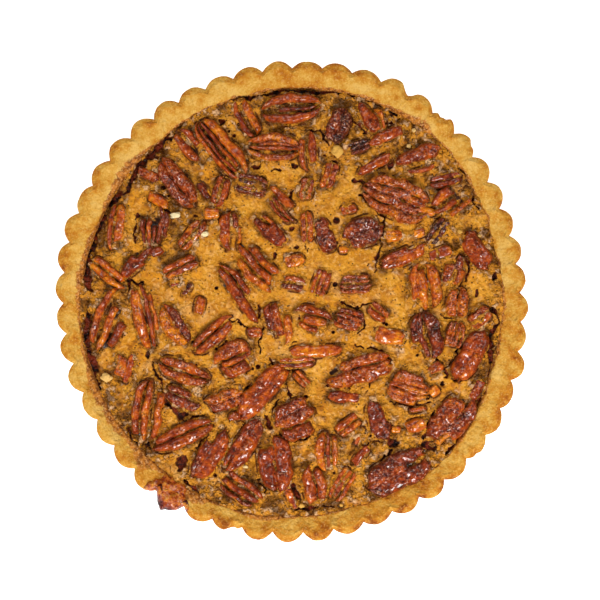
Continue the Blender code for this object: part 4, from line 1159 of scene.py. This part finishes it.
def boiled_syrup():
    """A skin lifted off the case: thickest in the middle of its patch, lumpy, and falling under the
    pastry at its border, with one thick drop low down."""
    angle, lobe = flute_columns()
    radius, height, _ = pastry_section(angle, lobe)
    aside = angle_from(angle, SYRUP_MIDDLE)
    chosen = np.flatnonzero(np.abs(aside) < SYRUP_HALF_WIDTH)
    chosen = chosen[np.argsort(aside[chosen])]
    first, last = SYRUP_ROWS
    radius, height = radius[first:last, chosen], height[first:last, chosen]
    out, up = np.gradient(height, axis=0), -np.gradient(radius, axis=0)
    length = np.hypot(out, up) + 1e-6
    out, up = out / length, up / length
    turn = np.radians(angle[chosen])[None, :] + 0.0 * radius
    x, y = on_plan(radius, turn)
    u = np.linspace(-1.0, 1.0, len(radius))[:, None]
    v = np.linspace(-1.0, 1.0, len(chosen))[None, :]
    inside = 1.0 - (u ** 2 + v ** 2) + layers(x, y + height, SYRUP_BORDER_LUMPS)
    drop = np.exp(-(((u - DROP_MIDDLE) / DROP_SIZES[0]) ** 2) - ((v / DROP_SIZES[1]) ** 2))
    lumpy = 0.7 + 0.6 * clouds(x, y + height, 2.6, 43)
    thick = SYRUP_THICKNESS * np.sqrt(np.clip(inside, 0.0, 1.0)) * lumpy
    thick = np.where(inside > 0.0, thick + DROP_THICKNESS * drop, SYRUP_BORDER)
    index = np.arange(radius.size).reshape(radius.shape)
    brink = brink_of(index)
    thick.ravel()[brink] = SYRUP_BORDER
    points = [np.stack([*on_plan(radius + lift * out, turn), height + lift * up], axis=-1).reshape(-1, 3)
              for lift in (thick, SYRUP_UNDER)]
    ahead = np.roll(brink, -1)
    side = np.stack([brink, brink + index.size, ahead + index.size, ahead], axis=-1)
    faces = np.concatenate([grid_faces(index), grid_faces(index + index.size)[:, (0, 3, 2, 1)], side])
    syrup = food_object("boiled_over_syrup", np.concatenate(points), faces.tolist(), syrup_surface())
    keep_mark(syrup, "amber", SYRUP_AMBER - DROP_DARKNESS * drop)
    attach(syrup, "root")
    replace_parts(syrup, "boiled_syrup")


boiled_syrup()

# Crumbs
# Bits of pastry that broke off the rim and fell on the filling, rough and golden,
# and a few pale flakes of nut. They lie loose on the custard.

CRUMB_ROWS = 12
CRUMB_COLUMNS = 20
CRUMB_LIFT = 0.6
CRUMB_ROUGHNESS = 0.34
CRUMB_GOLD, FLAKE_PALE = ((226, 178, 84), (190, 132, 46)), ((240, 224, 180), (216, 190, 130))

# Crumbs, as (x, y, length, width, height, how pale)
CRUMBS = (
    (25, 84.5, 7, 6.4, 3.4, 0), (-66.5, 48.5, 6.5, 3.5, 1.6, 1), (-50.5, 38, 5, 3, 1.4, 1),
    (68, 96.5, 2.5, 2.2, 1.6, 0.3), (65, 87.5, 3, 2.4, 1.6, 0.3), (78.5, 75, 1.6, 1.5, 1.2, 0.2),
    (97.5, 63, 2, 1.8, 1.4, 0), (94, 39, 3, 2.4, 1.6, 0), (105, 37, 1.6, 1.4, 1.2, 0.2),
    (82.5, -14.5, 1.6, 1.4, 1.2, 0.2), (4.5, -115.5, 3, 2.4, 1.8, 0), (-27, -93.5, 3, 1.6, 1.4, 0.6),
    (27, -115, 2, 1.8, 1.4, 0), (-105.5, -43, 6, 4.5, 2.6, 0.2),
)


def crumb_surface():
    """Golden or pale by its mark, and sandy."""
    skin = Surface("pastry crumb")
    grain = skin.noise(0.9, 3.0)
    colour = skin.mix(skin.mark("pale"), skin.mix(grain, *CRUMB_GOLD), skin.mix(grain, *FLAKE_PALE))
    return skin.finish(colour, 0.8, Normal=skin.bump(grain, 0.4), Specular_IOR_Level=0.3)


def crumb(x0, y0, length, width, height):
    """A ball squeezed to its length, width and height, and pushed in and out by noise."""
    tilt = np.linspace(-90.0, 90.0, CRUMB_ROWS + 2)[1:-1, None]
    turn = np.radians(np.linspace(0.0, 360.0, CRUMB_COLUMNS, endpoint=False))[None, :]
    noise = clouds(3.0 * np.cos(turn) + 0.0 * tilt, 3.0 * np.sin(turn) + tilt / 20.0, 1.6, int(x0) + 300)
    push = 1.0 + CRUMB_ROUGHNESS * noise
    flat, tall = push * np.cos(np.radians(tilt)), push * np.sin(np.radians(tilt))
    level = custard_top(np.array(x0), np.array(y0)) + CRUMB_LIFT + 0.25 * height
    x, y = x0 + 0.5 * length * flat * np.cos(turn), y0 + 0.5 * width * flat * np.sin(turn)
    return np.stack([x, y, level + 0.5 * height * tall], axis=-1)


def crumbs():
    """All the crumbs as one piece."""
    grids = [crumb(*sizes) for *sizes, _ in CRUMBS]
    pale = [np.full(CRUMB_ROWS * CRUMB_COLUMNS + 2, share) for *_, share in CRUMBS]
    piece = food_object("pastry_crumbs", *joined(grids), crumb_surface())
    keep_mark(piece, "pale", np.concatenate(pale))
    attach(piece, "root")


crumbs()
